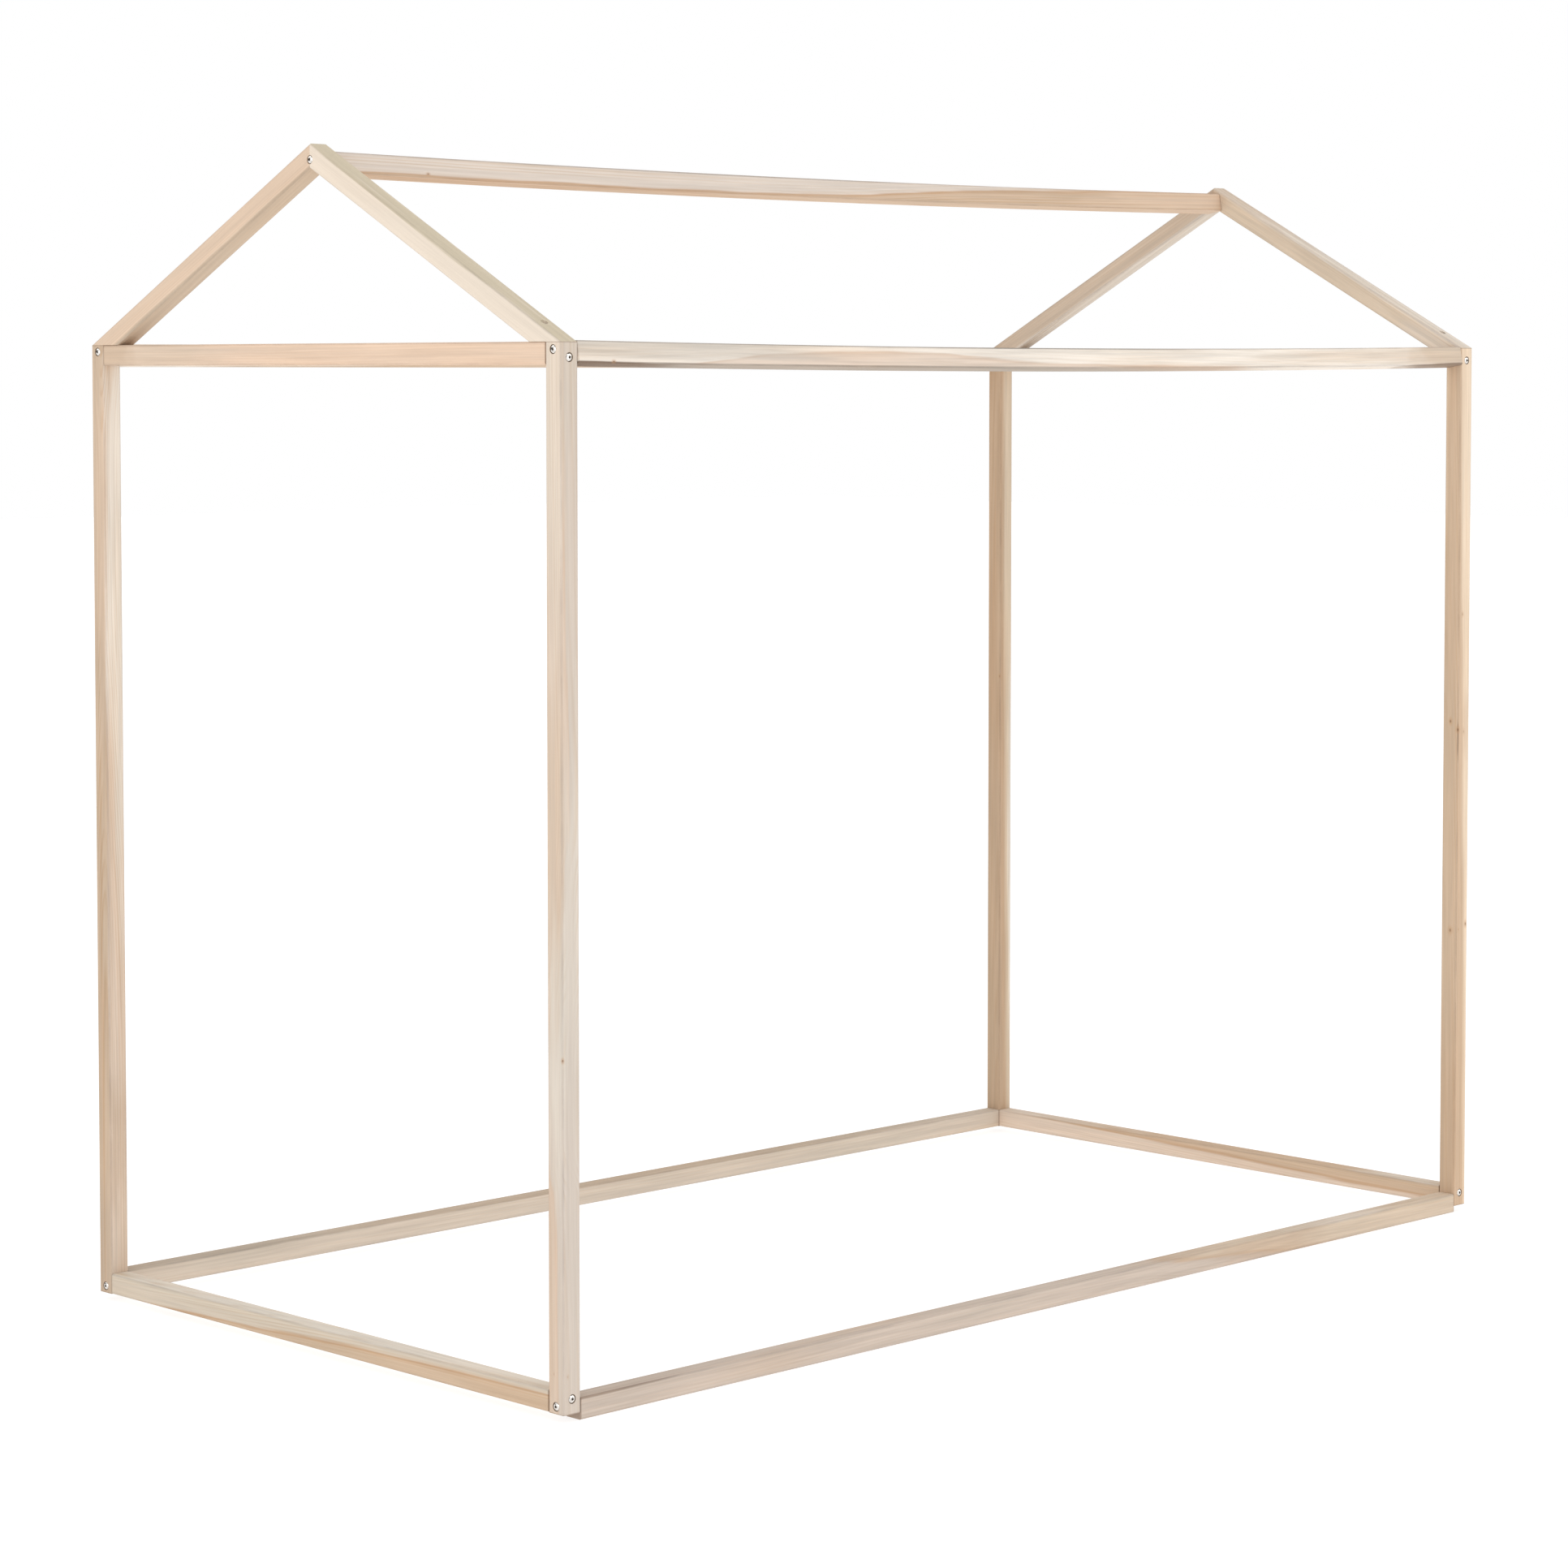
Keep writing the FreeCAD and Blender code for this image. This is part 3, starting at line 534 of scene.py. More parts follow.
# %% Heart lines
# Each stick: outer tone, heart tone, the way out of the heart (y, z), softness in millimetres,
# strength of the line along the border, and the heart line as pairs: place along the stick
# from 0 to 1, and the heart's reach across it in millimetres.
HEART_LINES = {
    "post_front_left": ("pearl", "oat", (-0.7, -0.7), 1.7, 0.16,
                        [(0, -8), (0.12, -9), (0.2, -12), (0.26, -24), (0.34, -22), (0.42, -10),
                         (0.5, 0), (0.58, 10), (0.66, 8), (0.8, 4), (1, 3)]),
    "post_back_left": ("milk", "tan", (0, -1), 2.0, 0.25,
                       [(0, 24), (0.35, 22), (0.5, 12), (0.62, 2), (0.75, -8), (0.88, -8),
                        (0.97, 2), (1, 8)]),
    "post_front_right": ("straw", "tan", (0, -1), 6.0, 0.1,
                         [(0, 10), (0.3, 4), (0.5, -2), (0.75, -10), (1, -15)]),
    "post_back_right": ("sand", "fawn", (0, -1), 6.0, 0.1, [(0, 4), (0.5, -4), (1, -8)]),
    "top_rail_front": ("cream", "oat", (0, 1), 1.8, 0.2,
                       [(0, -26), (0.08, -19), (0.14, -8), (0.2, 3), (0.27, 7), (0.33, 6), (0.4, 0),
                        (0.46, -7), (0.54, -12), (0.7, -15), (0.8, -24), (1, -26)]),
    "top_rail_back": ("cream", "honey", (0, 1), 4.0, 0.2, [(0, -20), (0.5, -8), (1, -20)]),
    "top_rail_left": ("peach", "peach", (0, -1), 4.0, 0.0, [(0, -10), (0.4, -4), (1, 6)]),
    "top_rail_right": ("honey", "tan", (0, -1), 4.0, 0.2, [(0, 0), (1, 8)]),
    "bottom_rail_front": ("ash", "sand", (0, -1), 3.0, 0.35,
                          [(0, -26), (0.56, -24), (0.64, -10), (0.72, 2), (0.8, 16), (1, 26)]),
    "bottom_rail_back": ("ash", "sand", (0, 1), 5.0, 0.1, [(0, -26), (0.8, -24), (1, -14)]),
    "bottom_rail_left": ("birch", "tan", (0, 1), 2.4, 0.5,
                         [(0, 9), (0.25, 6), (0.5, 0), (0.7, -9), (0.85, -14), (1, -20)]),
    "bottom_rail_right": ("oat", "tan", (0, -1), 2.6, 0.5,
                          [(0, 8), (0.3, 2), (0.5, -5), (0.75, -12), (1, -18)]),
    "rafter_left_front": ("ivory", "moss", (0, -1), 1.5, 0.0, [(0, -14), (1, -14)]),
    "rafter_left_back": ("rose", "dun", (0, 1), 3.0, 0.0, [(0, -13), (1, -13)]),
    "rafter_right_front": ("sand", "milk", (0, -1), 3.0, 0.0, [(0, -13), (1, -13)]),
    "rafter_right_back": ("dun", "drift", (0, 1), 3.0, 0.0, [(0, -13), (1, -13)]),
    "ridge_beam": ("shell", "tan", (0, 1), 2.0, 0.5,
                   [(0, -13), (0.3, -13), (0.5, -10), (0.6, -1), (0.7, 7), (0.82, 13), (1, 18)]),
}
print("heart lines", len(HEART_LINES))

# %% Stains, and painted shade
# Each stain, and each patch of painted shade: tone, place (x, y, z), size (x, y, z), strength. A later
# one lies over an earlier.
STAINS_AND_SHADE = {
    "post_front_left": [("fawn", (-0.62, 0.016, 0.016), (0.3, 0.012, 0.012), 0.3),
                        ("milk", (-0.22, -0.002, 0.016), (0.24, 0.018, 0.010), 0.9),
                        ("milk", (-0.08, -0.019, 0.0), (0.30, 0.010, 0.03), 0.6),
                        ("ivory", (0.62, 0.0, 0.019), (0.34, 0.03, 0.010), 0.85),
                        ("honey", (0.05, 0.0, 0.019), (0.28, 0.03, 0.010), 0.5),
                        ("drift", (0.72, -0.019, 0.0), (0.14, 0.010, 0.03), 0.5)],
    "post_back_left": [("oat", (-0.2, -0.019, -0.004), (1.1, 0.010, 0.03), 0.85),
                       ("milk", (0.34, -0.016, -0.010), (0.54, 0.016, 0.020), 1.0),
                       ("cream", (0.42, -0.019, 0.0), (0.36, 0.010, 0.03), 0.85),
                       ("fawn", (-0.52, -0.019, 0.0), (0.13, 0.010, 0.03), 0.45),
                       ("peach", (0.48, 0.0, 0.019), (0.36, 0.03, 0.010), 0.5),
                       ("slate", (-0.70, 0.0, 0.019), (0.16, 0.03, 0.010), 0.2),
                       ("amber", (-0.25, 0.003, 0.016), (0.5, 0.004, 0.003), 0.3)],
    "post_front_right": [("fawn", (-0.6, 0.0, 0.019), (0.3, 0.03, 0.010), 0.3),
                         ("amber", (-0.68, 0.0, 0.019), (0.3, 0.03, 0.010), 0.15),
                         ("tan", (0.08, -0.019, 0.0), (0.08, 0.010, 0.03), 0.4),
                         ("umber", (0.07, -0.0151, 0.0151), (0.04, 0.0022, 0.0022), 0.5)],
    "post_back_right": [("milk", (-0.2, -0.016, -0.016), (0.40, 0.016, 0.012), 1.0)],
    "top_rail_front": [("honey", (0.88, -0.016, 0.000), (0.42, 0.02, 0.017), 0.5),
                       ("tan", (1.0, -0.016, 0.0), (0.13, 0.04, 0.04), 0.65),
                       ("drift", (-0.95, -0.016, 0.006), (0.5, 0.02, 0.016), 0.9),
                       # The next four are painted shade: a grey line where the top face turns from the
                       # light, and grey and dark brown on the underside, which gets little light.
                       ("slate", (-0.2, -0.0154, 0.0156), (1.1, 0.0035, 0.0020), 0.8),
                       ("slate", (-0.45, 0.000, -0.0165), (1.2, 0.08, 0.0035), 0.7),
                       ("umber", (-1.0, 0.000, -0.0165), (0.25, 0.08, 0.0035), 0.9),
                       ("umber", (1.0, 0.000, -0.0165), (0.16, 0.08, 0.0045), 0.8)],
    "top_rail_left": [("oat", (0.4, 0.016, 0.004), (0.3, 0.02, 0.01), 0.5),
                      ("sand", (0.40, 0.016, 0.0), (0.18, 0.03, 0.03), 0.45),
                      ("tan", (0.51, 0.016, 0.0), (0.07, 0.04, 0.04), 0.65)],
    "bottom_rail_front": [("umber", (-0.9, 0.0, 0.018), (0.3, 0.02, 0.004), 0.14),
                          ("dun", (0.30, 0.0, 0.018), (0.14, 0.03, 0.006), 0.5),
                          ("milk", (0.72, 0.0, 0.018), (0.16, 0.03, 0.006), 0.6),
                          ("fawn", (0.50, -0.018, 0.0), (0.17, 0.006, 0.03), 0.5),
                          ("umber", (-0.99, -0.0151, 0.0151), (0.2, 0.003, 0.003), 0.5)],
    "bottom_rail_back": [("fawn", (0, 0, 0.018), (1.1, 0.03, 0.006), 0.6),
                         ("slate", (0, 0, 0.018), (1.3, 0.03, 0.006), 0.2),
                         ("slate", (-0.9, 0, 0.018), (0.4, 0.03, 0.006), 0.45)],
    "bottom_rail_left": [("milk", (0, 0, 0.018), (0.7, 0.03, 0.006), 1.0),
                         ("cream", (-0.38, 0, 0.018), (0.16, 0.03, 0.006), 0.6)],
    "bottom_rail_right": [("milk", (0.40, 0, 0.018), (0.24, 0.03, 0.006), 0.6),
                          ("milk", (-0.46, 0, 0.018), (0.16, 0.03, 0.006), 0.8)],
    "rafter_right_front": [("shell", (-0.27, 0.019, 0.0), (0.14, 0.010, 0.03), 0.6),
                           ("dun", (0.26, 0.0, 0.019), (0.2, 0.03, 0.010), 0.6)],
    "ridge_beam": [("slate", (-0.3, -0.0150, 0.0152), (0.8, 0.004, 0.0025), 0.4),
                   ("peach", (0.92, -0.016, 0.0), (0.28, 0.03, 0.03), 0.4)],
}
print("stains", sum(len(found) for found in STAINS_AND_SHADE.values()))

# %% Figure, washes and knots
# Figure: how far the tree's heart is from the stick, its shift to one side and the width of a
# ring, in millimetres, and then how strongly the rings and the streaks show.
FIGURE = {
    "post_front_left": (46, 14, 4.6, 0.4, 0.45),
    "post_back_left": (34, -8, 4.1, 0.7, 0.8),
    "post_front_right": (44, 16, 4.4, 0.45, 0.6),
    "post_back_right": (52, -12, 4.8, 0.5, 0.7),
    "top_rail_front": (60, 8, 5.2, 0.28, 1.1),
    "top_rail_back": (48, 12, 4.6, 0.4, 0.5),
    "top_rail_left": (42, -8, 3.6, 0.35, 0.7),
    "top_rail_right": (42, 8, 3.6, 0.5, 0.6),
    "bottom_rail_front": (50, 10, 4.2, 0.4, 0.9),
    "bottom_rail_back": (44, 18, 4.5, 0.35, 0.8),
    "bottom_rail_left": (46, 10, 4.7, 0.6, 0.6),
    "bottom_rail_right": (40, 14, 4.4, 0.55, 0.6),
    "rafter_left_front": (48, 16, 4.6, 0.06, 0.25),
    "rafter_left_back": (44, -16, 4.3, 0.4, 0.5),
    "rafter_right_front": (46, 16, 4.6, 0.6, 1.0),
    "rafter_right_back": (44, -12, 4.4, 0.45, 0.7),
    "ridge_beam": (48, 8, 5.0, 0.65, 0.6),
}

# Wash: a thin filter over the whole stick, because no two sticks of one batch match.
WASHES = {
    "post_front_left": (0.935, 0.925, 0.915),
    "post_back_left": (0.93, 0.925, 0.925),
    "post_front_right": (0.985, 0.965, 0.945),
    "post_back_right": (0.935, 0.91, 0.875),
    "top_rail_front": (1.0, 1.01, 1.03),
    "top_rail_back": (1.0, 1.0, 1.0),
    "top_rail_left": (0.96, 0.94, 0.93),
    "top_rail_right": (0.96, 0.94, 0.92),
    "bottom_rail_front": (0.96, 0.935, 0.93),
    "bottom_rail_back": (1.01, 0.99, 0.95),
    "bottom_rail_left": (0.965, 0.955, 0.94),
    "bottom_rail_right": (0.965, 0.94, 0.92),
    "rafter_left_front": (0.99, 0.985, 0.97),
    "rafter_left_back": (0.97, 0.965, 0.94),
    "rafter_right_front": (1.01, 0.99, 0.975),
    "rafter_right_back": (0.985, 0.975, 0.97),
    "ridge_beam": (1.01, 1.0, 1.01),
}

# Knots: place (x, y, z) and radius in metres, and how dark the knot is.
KNOTS = {
    "post_front_left": [((-0.2485, -0.0151, 0.0151), 0.0013, 0.9), ((-0.690, 0.004, 0.016), 0.0010, 0.3),
                        ((-0.692, -0.0155, 0.008), 0.0010, 0.35)],
    "post_front_right": [((0.286, -0.016, 0.006), 0.0016, 0.5), ((0.100, 0.000, 0.016), 0.0020, 0.8),
                         ((0.086, -0.0151, 0.0151), 0.0020, 0.9), ((0.082, -0.016, 0.000), 0.0022, 0.3),
                         ((-0.264, -0.003, 0.016), 0.0024, 0.7), ((-0.262, -0.016, 0.010), 0.0010, 0.4),
                         ((-0.254, -0.016, -0.010), 0.0020, 0.8)],
    "post_back_right": [((0.123, -0.014, 0.016), 0.0016, 0.5)],
    "top_rail_front": [((-0.954, -0.0156, -0.0135), 0.0013, 0.9)],
    "ridge_beam": [((-0.841, -0.016, -0.010), 0.0013, 0.8)],
}
print("knots", sum(len(found) for found in KNOTS.values()))


# %% Helpers for one stick
LINE_REACH = 0.03      # the heart line's curve runs from minus to plus this reach


def place_group(tree, group, inputs):
    """Place a group in a material; inputs as in add_node."""
    made = add_node(tree, "ShaderNodeGroup", node_tree=group)
    for key, value in inputs.items():
        if isinstance(value, bpy.types.NodeSocket):
            connect(tree, value, made.inputs[key])
        else:
            made.inputs[key].default_value = value
    return made.outputs


def heart_line(tree, along, half_length, points):
    """The heart's reach in metres for every place along the stick; points in millimetres."""
    place = add_node(tree, "ShaderNodeMapRange", {0: along, 1: -half_length, 2: half_length}).outputs[0]
    line = add_node(tree, "ShaderNodeFloatCurve", {"Value": place})
    curve = line.mapping.curves[0]
    scaled = [(x, 0.5 + reach / 1000 / (2 * LINE_REACH)) for x, reach in points]
    curve.points[0].location, curve.points[1].location = scaled[0], scaled[-1]
    for x, y in scaled[1:-1]:
        curve.points.new(x, y)
    line.mapping.update()
    return maths(tree, "MULTIPLY", maths(tree, "SUBTRACT", line.outputs[0], 0.5), 2 * LINE_REACH)


# %% Material of each stick
DULL = 0.25                      # bare wood mirrors less than a polished surface
SEAT_SHADE, SEAT_SHADE_RAFTER = 1.0, 0.12  # how much painted shade darkens the drilled screw seats
END_GRAIN_AND_SHADE, END_GRAIN_AND_SHADE_TOP_FRONT = 0.45, 0.08      # how dark the sawn ends are: end grain, with painted shadow at the joints
KNOT_TONE = linear(122, 90, 64)
KNOT_CORE, KNOT_RIM = 0.9, 0.55  # how much of a knot's two tones shows
ROUGHNESS = (0.74, 0.6)          # of the soft and the dense part of a ring
GRAIN_BUMP, GRAIN_DEPTH = 0.2, 0.0003  # strength, and metres


def timber_material(name, seed):
    """The wood of one stick, from its rows in the tables above."""
    outer, heart, away, softness, edge, points = HEART_LINES[name]
    depth, aside, ring_width, figure, streaks = FIGURE[name]
    turn, centre, half_length = lay(name)
    material = bpy.data.materials.new("softwood_" + name)
    material.use_nodes = True
    tree = material.node_tree
    shader = tree.nodes["Principled BSDF"]
    shader.inputs["Specular IOR Level"].default_value = DULL
    middle = -(turn.to_matrix() @ centre)
    coordinates = add_node(tree, "ShaderNodeTexCoord").outputs["Object"]
    grain = add_node(tree, "ShaderNodeMapping", {"Vector": coordinates, "Location": middle,
                                                 "Rotation": turn}).outputs[0]
    along = add_node(tree, "ShaderNodeSeparateXYZ", {0: grain}).outputs[0]
    seat_shade = SEAT_SHADE_RAFTER if name.startswith("rafter") else SEAT_SHADE
    if name in SAGS:
        seat_shade = 0.0
        place = maths(tree, "DIVIDE", along, half_length)
        fall = maths(tree, "SUBTRACT", 1.0, maths(tree, "MULTIPLY", place, place))
        down = turn.to_matrix() @ Vector((0, 0, SAGS[name]))
        back_up = add_node(tree, "ShaderNodeVectorMath", {0: fall, 1: down}, operation="MULTIPLY")
        grain = add_node(tree, "ShaderNodeVectorMath", {0: grain, 1: back_up.outputs[0]},
                         operation="ADD").outputs[0]
    level = heart_line(tree, along, half_length, points)
    border = place_group(tree, border_group, {
        "Vector": grain, "Away": (0, *away), "Level": level, "Softness": softness / 1000,
        "Seed": seed})
    tone = mix_colours(tree, border["Heart"], TONES[outer], TONES[heart])
    tone = mix_colours(tree, maths(tree, "MULTIPLY", border["Edge"], edge), tone, TONES["amber"])
    for patch_tone, place, size, strength in STAINS_AND_SHADE.get(name, []):
        mask = place_group(tree, stain_and_shade_group, {"Vector": grain, "Place": place, "Size": size,
                                               "Strength": strength})["Mask"]
        tone = mix_colours(tree, mask, tone, TONES[patch_tone])
    tone = mix_colours(tree, 1.0, tone, (*WASHES[name], 1), "MULTIPLY")
    bulge, cores, rims = maths(tree, "MULTIPLY", level, -1.0), 0.0, 0.0
    for place, radius, dark in KNOTS.get(name, []):
        knot = place_group(tree, knot_group, {"Vector": grain, "Place": place, "Radius": radius})
        bulge = maths(tree, "ADD", bulge, knot["Bulge"])
        cores = maths(tree, "MAXIMUM", cores, maths(tree, "MULTIPLY", knot["Core"], dark))
        rims = maths(tree, "MAXIMUM", rims, maths(tree, "MULTIPLY", knot["Rim"], dark))
    wood = place_group(tree, wood_group, {
        "Vector": grain, "Heart Y": (aside - away[0] * depth) / 1000,
        "Heart Z": -away[1] * depth / 1000, "Ring Width": ring_width / 1000,
        "Bulge": bulge, "Figure": figure, "Wood": tone, "Streaks": streaks, "Seed": seed})
    colour = wood["Color"]
    if name in KNOTS:
        rim = maths(tree, "MULTIPLY", rims, KNOT_RIM)
        core = maths(tree, "MULTIPLY", cores, KNOT_CORE)
        colour = mix_colours(tree, rim, colour, TONES["amber"])
        colour = mix_colours(tree, core, colour, KNOT_TONE)
    marks = place_group(tree, marks_group, {
        "Vector": grain, "Color": colour, "Half Side": HALF_SIDE, "Half Length": half_length,
        "Seat Shade": seat_shade, "Cut": END_GRAIN_AND_SHADE_TOP_FRONT if name == "top_rail_front" else END_GRAIN_AND_SHADE})
    connect(tree, marks["Color"], shader.inputs["Base Color"])
    roughness = ramp_between(tree, wood["Late"], 0.0, 1.0, *ROUGHNESS)
    connect(tree, roughness, shader.inputs["Roughness"])
    bump = add_node(tree, "ShaderNodeBump", {"Height": wood["Height"], "Strength": GRAIN_BUMP,
                                             "Distance": GRAIN_DEPTH})
    connect(tree, bump.outputs["Normal"], shader.inputs["Normal"])
    return material


timbers = {name: timber_material(name, float(i)) for i, name in enumerate(HEART_LINES)}
for name, material in timbers.items():
    mesh = nodes[name].data
    mesh.materials.clear()
    mesh.materials.append(material)
print("sticks with their own wood:", len(timbers))

# %% [markdown]
# ## The two sagging beams
#
# The top front rail and the ridge hang about seven millimetres lower in the middle than at
# their ends. A slender softwood beam does that under its own weight. The straight CAD solid
# can't show it, so each is made again: a cube stretched to the stick's size, cut into short
# lengths, its arrises rounded, and its middle pulled straight down with proportional editing,
# whose inverse-square falloff is a parabola. The ends stay where the screws hold them.


# %% Helpers for modelling
def pick(test, mode="FACE"):
    """In edit mode, select only the faces, edges or vertices that pass the test."""
    bpy.ops.mesh.select_mode(type=mode)
    bpy.ops.mesh.select_all(action="DESELECT")
    bpy.ops.object.mode_set(mode="OBJECT")
    mesh = bpy.context.object.data
    items = {"FACE": mesh.polygons, "EDGE": mesh.edges, "VERT": mesh.vertices}[mode]
    for item in items:
        if test(item, mesh):
            item.select = True
    bpy.ops.object.mode_set(mode="EDIT")


def apply_place(obj):
    """Move an object's place, turn and scale into its mesh."""
    bpy.ops.object.select_all(action="DESELECT")
    obj.select_set(True)
    bpy.context.view_layer.objects.active = obj
    bpy.ops.object.transform_apply(location=True, rotation=True, scale=True)


# %% Sagging beams
CUTS = 39                        # across the beam, for forty short lengths
ARRIS, END_ARRIS = 0.003, 0.001  # how far the long edges and the ends are rounded
CLOSE = 1e-4                     # two places nearer than this are the same
SMOOTH = math.radians(35)        # edges blunter than this are shaded smooth


def sagging_beam(node):
    """Make a straight beam, bend it, roll it, and let it stand for the node."""
    turn, centre, half_length = lay(node)
    name = node + "_sagged"
    bpy.ops.object.select_all(action="DESELECT")
    bpy.ops.mesh.primitive_cube_add(size=1)
    beam = bpy.context.object
    beam.name = beam.data.name = name
    beam.scale = (2 * half_length, 2 * HALF_SIDE, 2 * HALF_SIDE)
    apply_place(beam)
    bpy.ops.object.mode_set(mode="EDIT")

    def lengthwise(edge, mesh):
        ends = [mesh.vertices[i].co for i in edge.vertices]
        return abs(ends[0].x - ends[1].x) > CLOSE

    pick(lengthwise, "EDGE")
    bpy.ops.mesh.subdivide(number_cuts=CUTS)
    pick(lengthwise, "EDGE")
    bpy.ops.mesh.bevel(offset=ARRIS, segments=4, profile=0.5)

    def round_the_end(edge, mesh):
        ends = [mesh.vertices[i].co for i in edge.vertices]
        return min(abs(end.x) for end in ends) > half_length - CLOSE

    pick(round_the_end, "EDGE")
    bpy.ops.mesh.bevel(offset=END_ARRIS, segments=2, profile=0.5)
    pick(lambda vertex, mesh: abs(vertex.co.x) < CLOSE, "VERT")
    straight_down = turn.to_matrix() @ Vector((0, 0, -SAGS[node]))
    bpy.ops.transform.translate(value=straight_down, use_proportional_edit=True,
                                proportional_edit_falloff="INVERSE_SQUARE",
                                proportional_size=half_length)
    bpy.ops.object.mode_set(mode="OBJECT")
    beam.rotation_euler = (-turn.x, 0, 0)
    beam.location = centre
    apply_place(beam)
    bpy.ops.object.shade_smooth_by_angle(angle=SMOOTH)
    beam.data.materials.append(timbers[node])
    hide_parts(node)
    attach(beam, "root")
    low = min(v.co.z for v in beam.data.vertices)
    print(name, "vertices", len(beam.data.vertices), "lowest", round(low, 4))


for node in SAGS:
    sagging_beam(node)

# %% [markdown]
# ## Screws
#
# Bright domed heads with a hexagon socket sit in shallow round seats. One screw is drawn out
# of a cylinder: the top is inset and raised in steps that follow a dome, the shank is pushed
# out of the underside, and the socket is cut with a six-sided cutter. The rim and the socket
# get a darker, duller steel: painted shade where they sit in shadow, with the dust and oil that
# such hollows hold. The set for each CAD node is then copies of that one screw.


# %% Plated steel
def steel_material(name, bright, dull, smooth, rough):
    """Mottled steel, between two tones and two roughnesses."""
    made = bpy.data.materials.new(name)
    made.use_nodes = True
    tree = made.node_tree
    shader = tree.nodes["Principled BSDF"]
    shader.inputs["Metallic"].default_value = 1.0
    coordinates = add_node(tree, "ShaderNodeTexCoord").outputs["Object"]
    mottle = add_node(tree, "ShaderNodeTexNoise", {"Vector": coordinates, "Scale": 420.0,
                                                   "Detail": 3.0}).outputs[0]
    plate = mix_colours(tree, ramp_between(tree, mottle, 0.35, 0.65), bright, dull)
    connect(tree, plate, shader.inputs["Base Color"])
    connect(tree, ramp_between(tree, mottle, 0.3, 0.7, smooth, rough), shader.inputs["Roughness"])
    bump = add_node(tree, "ShaderNodeBump", {"Height": mottle, "Strength": 0.1, "Distance": 0.0001})
    connect(tree, bump.outputs["Normal"], shader.inputs["Normal"])
    return made


bright_steel = steel_material("plated_steel", linear(240, 235, 229), linear(206, 201, 195),
                              smooth=0.16, rough=0.28)
# Darker steel for rim and socket: painted shade, with dust and oil.
dark_steel = steel_material("shaded_and_oiled_steel", linear(164, 156, 147), linear(124, 117, 110),
                            smooth=0.34, rough=0.5)
print("steels", bright_steel.name, dark_steel.name)


# %% One screw
WALL = 0.4                       # the head's straight side, as a share of its crown
DOME_STEPS = (22, 42, 60, 74)    # degrees up the dome
POINT = 0.1                      # the shank's tapered end, as a share of its length
POINT_WIDTH = 0.25               # of the shank's
SOCKET_DEPTH = 0.002
RIM = 0.985                      # of the head's radius; further out is the rim
SOCKET_REACH = 0.62              # of the socket's width; nearer the middle is the socket
BELOW_CROWN = 0.0003             # and its faces' middles lie at least this far down


def make_screw(name, head, crown, shank, length, socket):
    """Screw along +z with its head's seat at z = 0 and the shank below it."""
    radius = head / 2
    bpy.ops.object.select_all(action="DESELECT")
    bpy.ops.mesh.primitive_cylinder_add(vertices=36, radius=radius, depth=crown * WALL,
                                        location=(0, 0, crown * WALL / 2))
    screw = bpy.context.object
    screw.name = screw.data.name = name
    apply_place(screw)
    bpy.ops.object.mode_set(mode="EDIT")
    pick(lambda face, mesh: face.normal.z > 0.9)
    level, width = crown * WALL, radius
    for angle in DOME_STEPS:
        next_width = radius * math.cos(math.radians(angle))
        next_level = crown * (WALL + (1 - WALL) * math.sin(math.radians(angle)))
        bpy.ops.mesh.inset(thickness=width - next_width)
        bpy.ops.transform.translate(value=(0, 0, next_level - level))
        level, width = next_level, next_width
    pick(lambda face, mesh: face.normal.z < -0.9)
    bpy.ops.mesh.inset(thickness=radius - shank / 2)
    for share in (1 - POINT, POINT):
        down = {"value": (0, 0, -length * share)}
        bpy.ops.mesh.extrude_region_move(TRANSFORM_OT_translate=down)
    bpy.ops.transform.resize(value=(POINT_WIDTH, POINT_WIDTH, 1))
    bpy.ops.object.mode_set(mode="OBJECT")
    bpy.ops.mesh.primitive_cylinder_add(vertices=6, radius=socket / math.sqrt(3),
                                        depth=2 * SOCKET_DEPTH, location=(0, 0, crown))
    cutter = bpy.context.object
    bpy.ops.object.select_all(action="DESELECT")
    screw.select_set(True)
    bpy.context.view_layer.objects.active = screw
    cut = screw.modifiers.new("socket", "BOOLEAN")
    cut.operation = "DIFFERENCE"
    cut.object = cutter
    bpy.ops.object.modifier_apply(modifier=cut.name)
    bpy.data.objects.remove(cutter)
    bpy.ops.object.shade_smooth_by_angle(angle=SMOOTH)
    screw.data.materials.append(bright_steel)
    screw.data.materials.append(dark_steel)
    # Rim and socket faces take the darker steel: painted shade, with the dust and oil that hollows hold.
    for face in screw.data.polygons:
        out = Vector(face.center[:2]).length
        in_socket = out < SOCKET_REACH * socket and face.center.z < crown - BELOW_CROWN
        if in_socket or out > RIM * radius:
            face.material_index = 1
    return screw


# The frame screw's crown is 0.1 mm lower than the solid's, so that it stays inside the CAD box.
frame_screw = make_screw("frame_screw", head=0.012, crown=0.0031, shank=0.006, length=0.076,
                         socket=0.004)
foot_screw = make_screw("foot_screw", head=0.009, crown=0.003, shank=0.004, length=0.035,
                        socket=0.0035)
print("faces", len(frame_screw.data.polygons), "and", len(foot_screw.data.polygons))


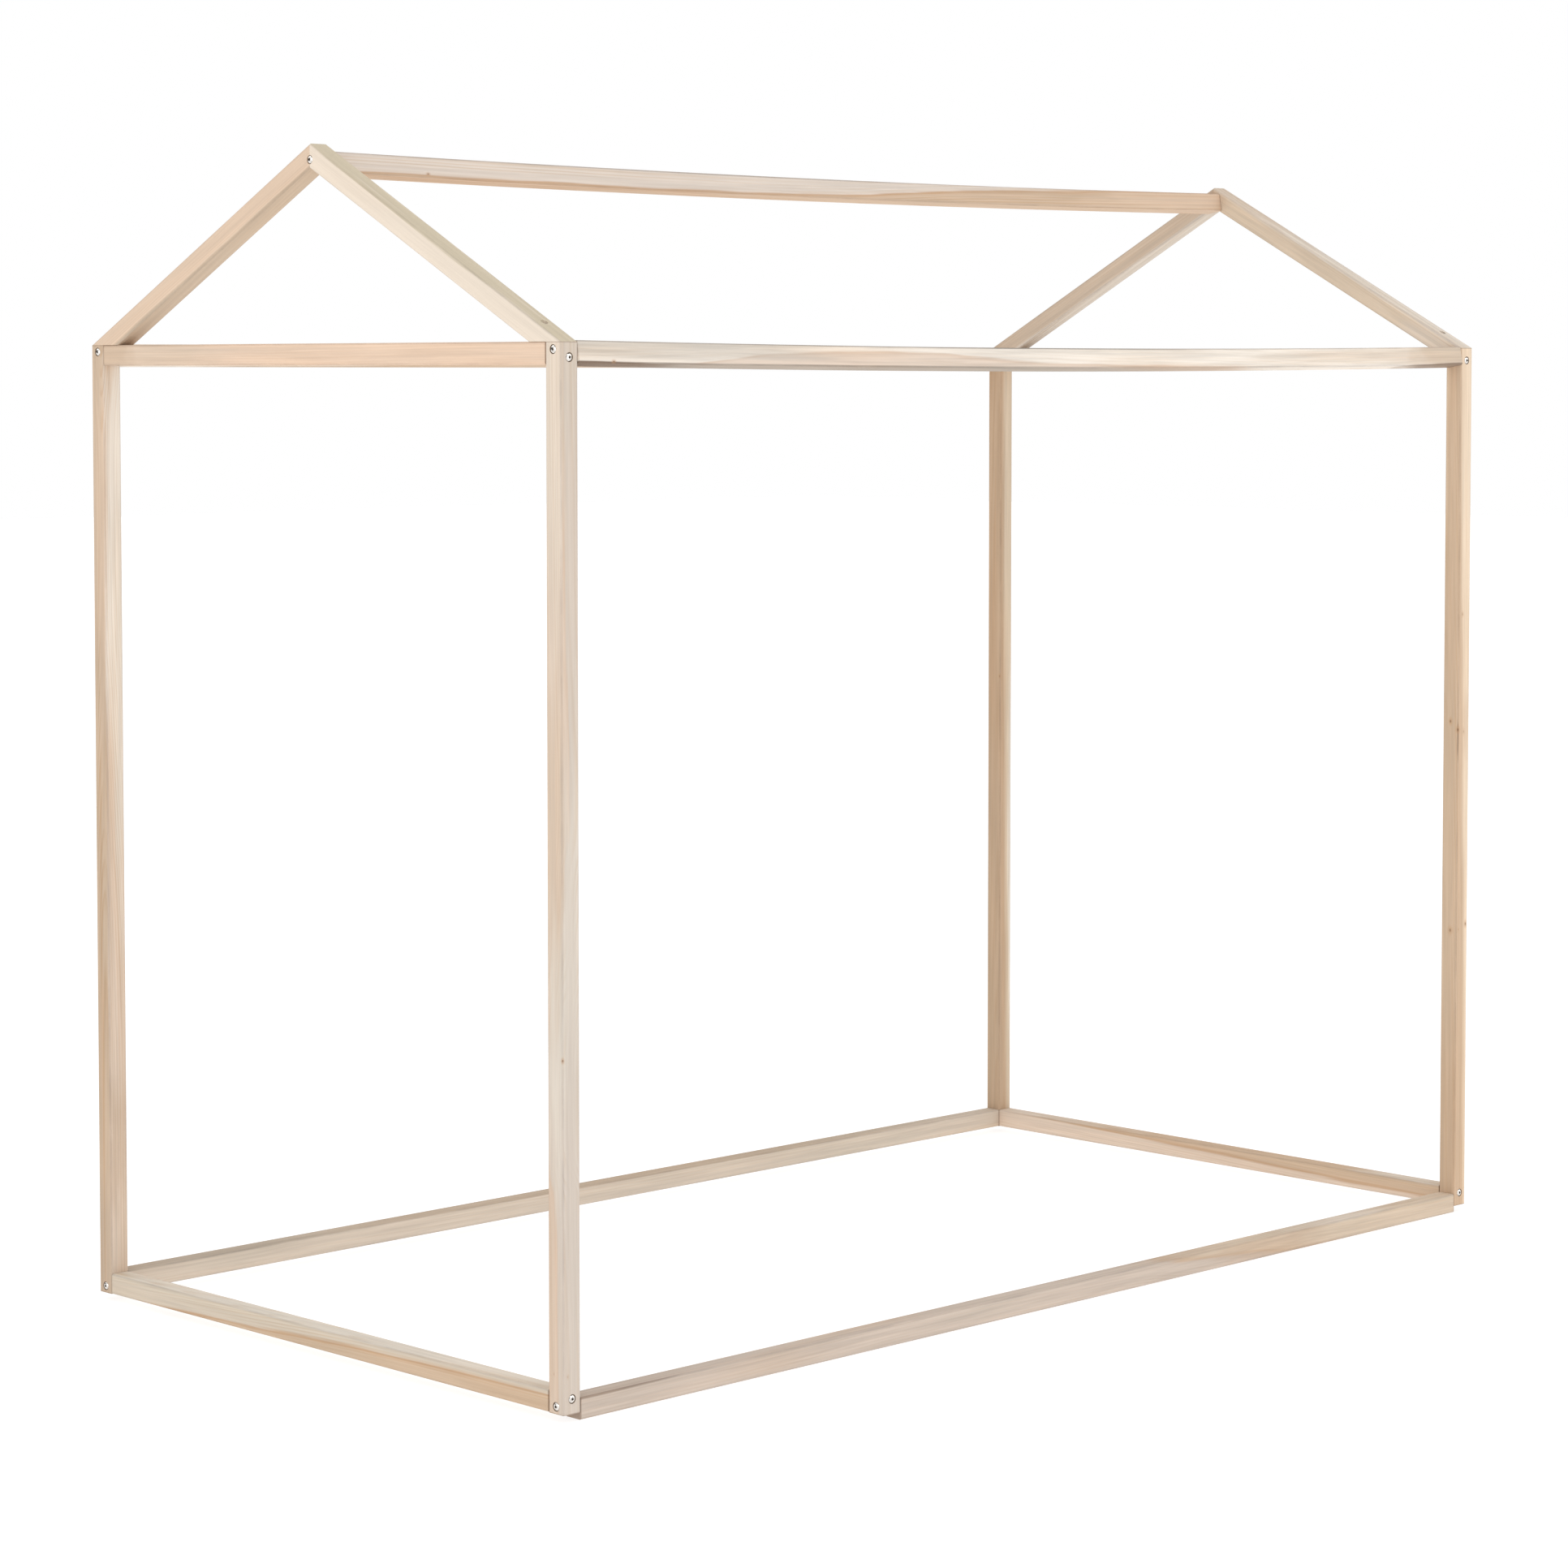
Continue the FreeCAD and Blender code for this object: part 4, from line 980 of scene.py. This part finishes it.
# %% Sets of screws
def screw_set(node, pattern, seats):
    """Copies of one screw: seats gives each head's place and the way it looks out."""
    copies = []
    for place, outward in seats:
        copy = pattern.copy()
        copy.data = pattern.data.copy()
        bpy.context.scene.collection.objects.link(copy)
        copy.rotation_euler = Vector(outward).to_track_quat("Z", "Y").to_euler()
        copy.location = place
        apply_place(copy)
        copies.append(copy)
    bpy.ops.object.select_all(action="DESELECT")
    for copy in copies:
        copy.select_set(True)
    bpy.context.view_layer.objects.active = copies[0]
    bpy.ops.object.join()
    piece = bpy.context.object
    piece.name = piece.data.name = node + "_bright"
    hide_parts(node)
    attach(piece, "root")
    print(piece.name, "screws", len(copies), "faces", len(piece.data.polygons))


SEAT = 0.0024                    # depth of the seat that a frame screw's head stands in
LONG_INSET = 0.0105              # from a post's end to the screw of its long rail
CROSS_INSET = 0.0215             # and to the screw of its cross rail
FOOT_Y, FOOT_RISE = 0.5, 0.0195  # of the screws at the rafters' feet, over the posts' tops
CORNERS = [(-1, -1), (-1, 1), (1, -1), (1, 1)]

low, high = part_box("post_front_left")
OUT_X, OUT_Y = -low.x, -low.y
POST_X, POST_Y = OUT_X - HALF_SIDE, OUT_Y - HALF_SIDE
BOTTOM, TOP = low.z, high.z
for where, level in (("top", TOP - LONG_INSET), ("bottom", BOTTOM + LONG_INSET)):
    screw_set("screws_%s_long_rails" % where, frame_screw,
              [((x * (OUT_X - SEAT), y * POST_Y, level), (x, 0, 0)) for x, y in CORNERS])
for where, level in (("top", TOP - CROSS_INSET), ("bottom", BOTTOM + CROSS_INSET)):
    screw_set("screws_%s_cross_rails" % where, frame_screw,
              [((x * POST_X, y * (OUT_Y - SEAT), level), (0, y, 0)) for x, y in CORNERS])
screw_set("screws_ridge", frame_screw,
          [((x * (OUT_X - SEAT), 0, RIDGE_SCREW_LEVEL), (x, 0, 0)) for x in (-1, 1)])
screw_set("screws_rafter_feet", foot_screw,
          [((x * POST_X, y * FOOT_Y, TOP + FOOT_RISE), (0, 0, 1)) for x, y in CORNERS])
for pattern in (frame_screw, foot_screw):
    bpy.data.objects.remove(pattern)

# %% Sizes and finish
low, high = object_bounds()
print("visual box:", [round(v, 4) for v in (*low, *high)])
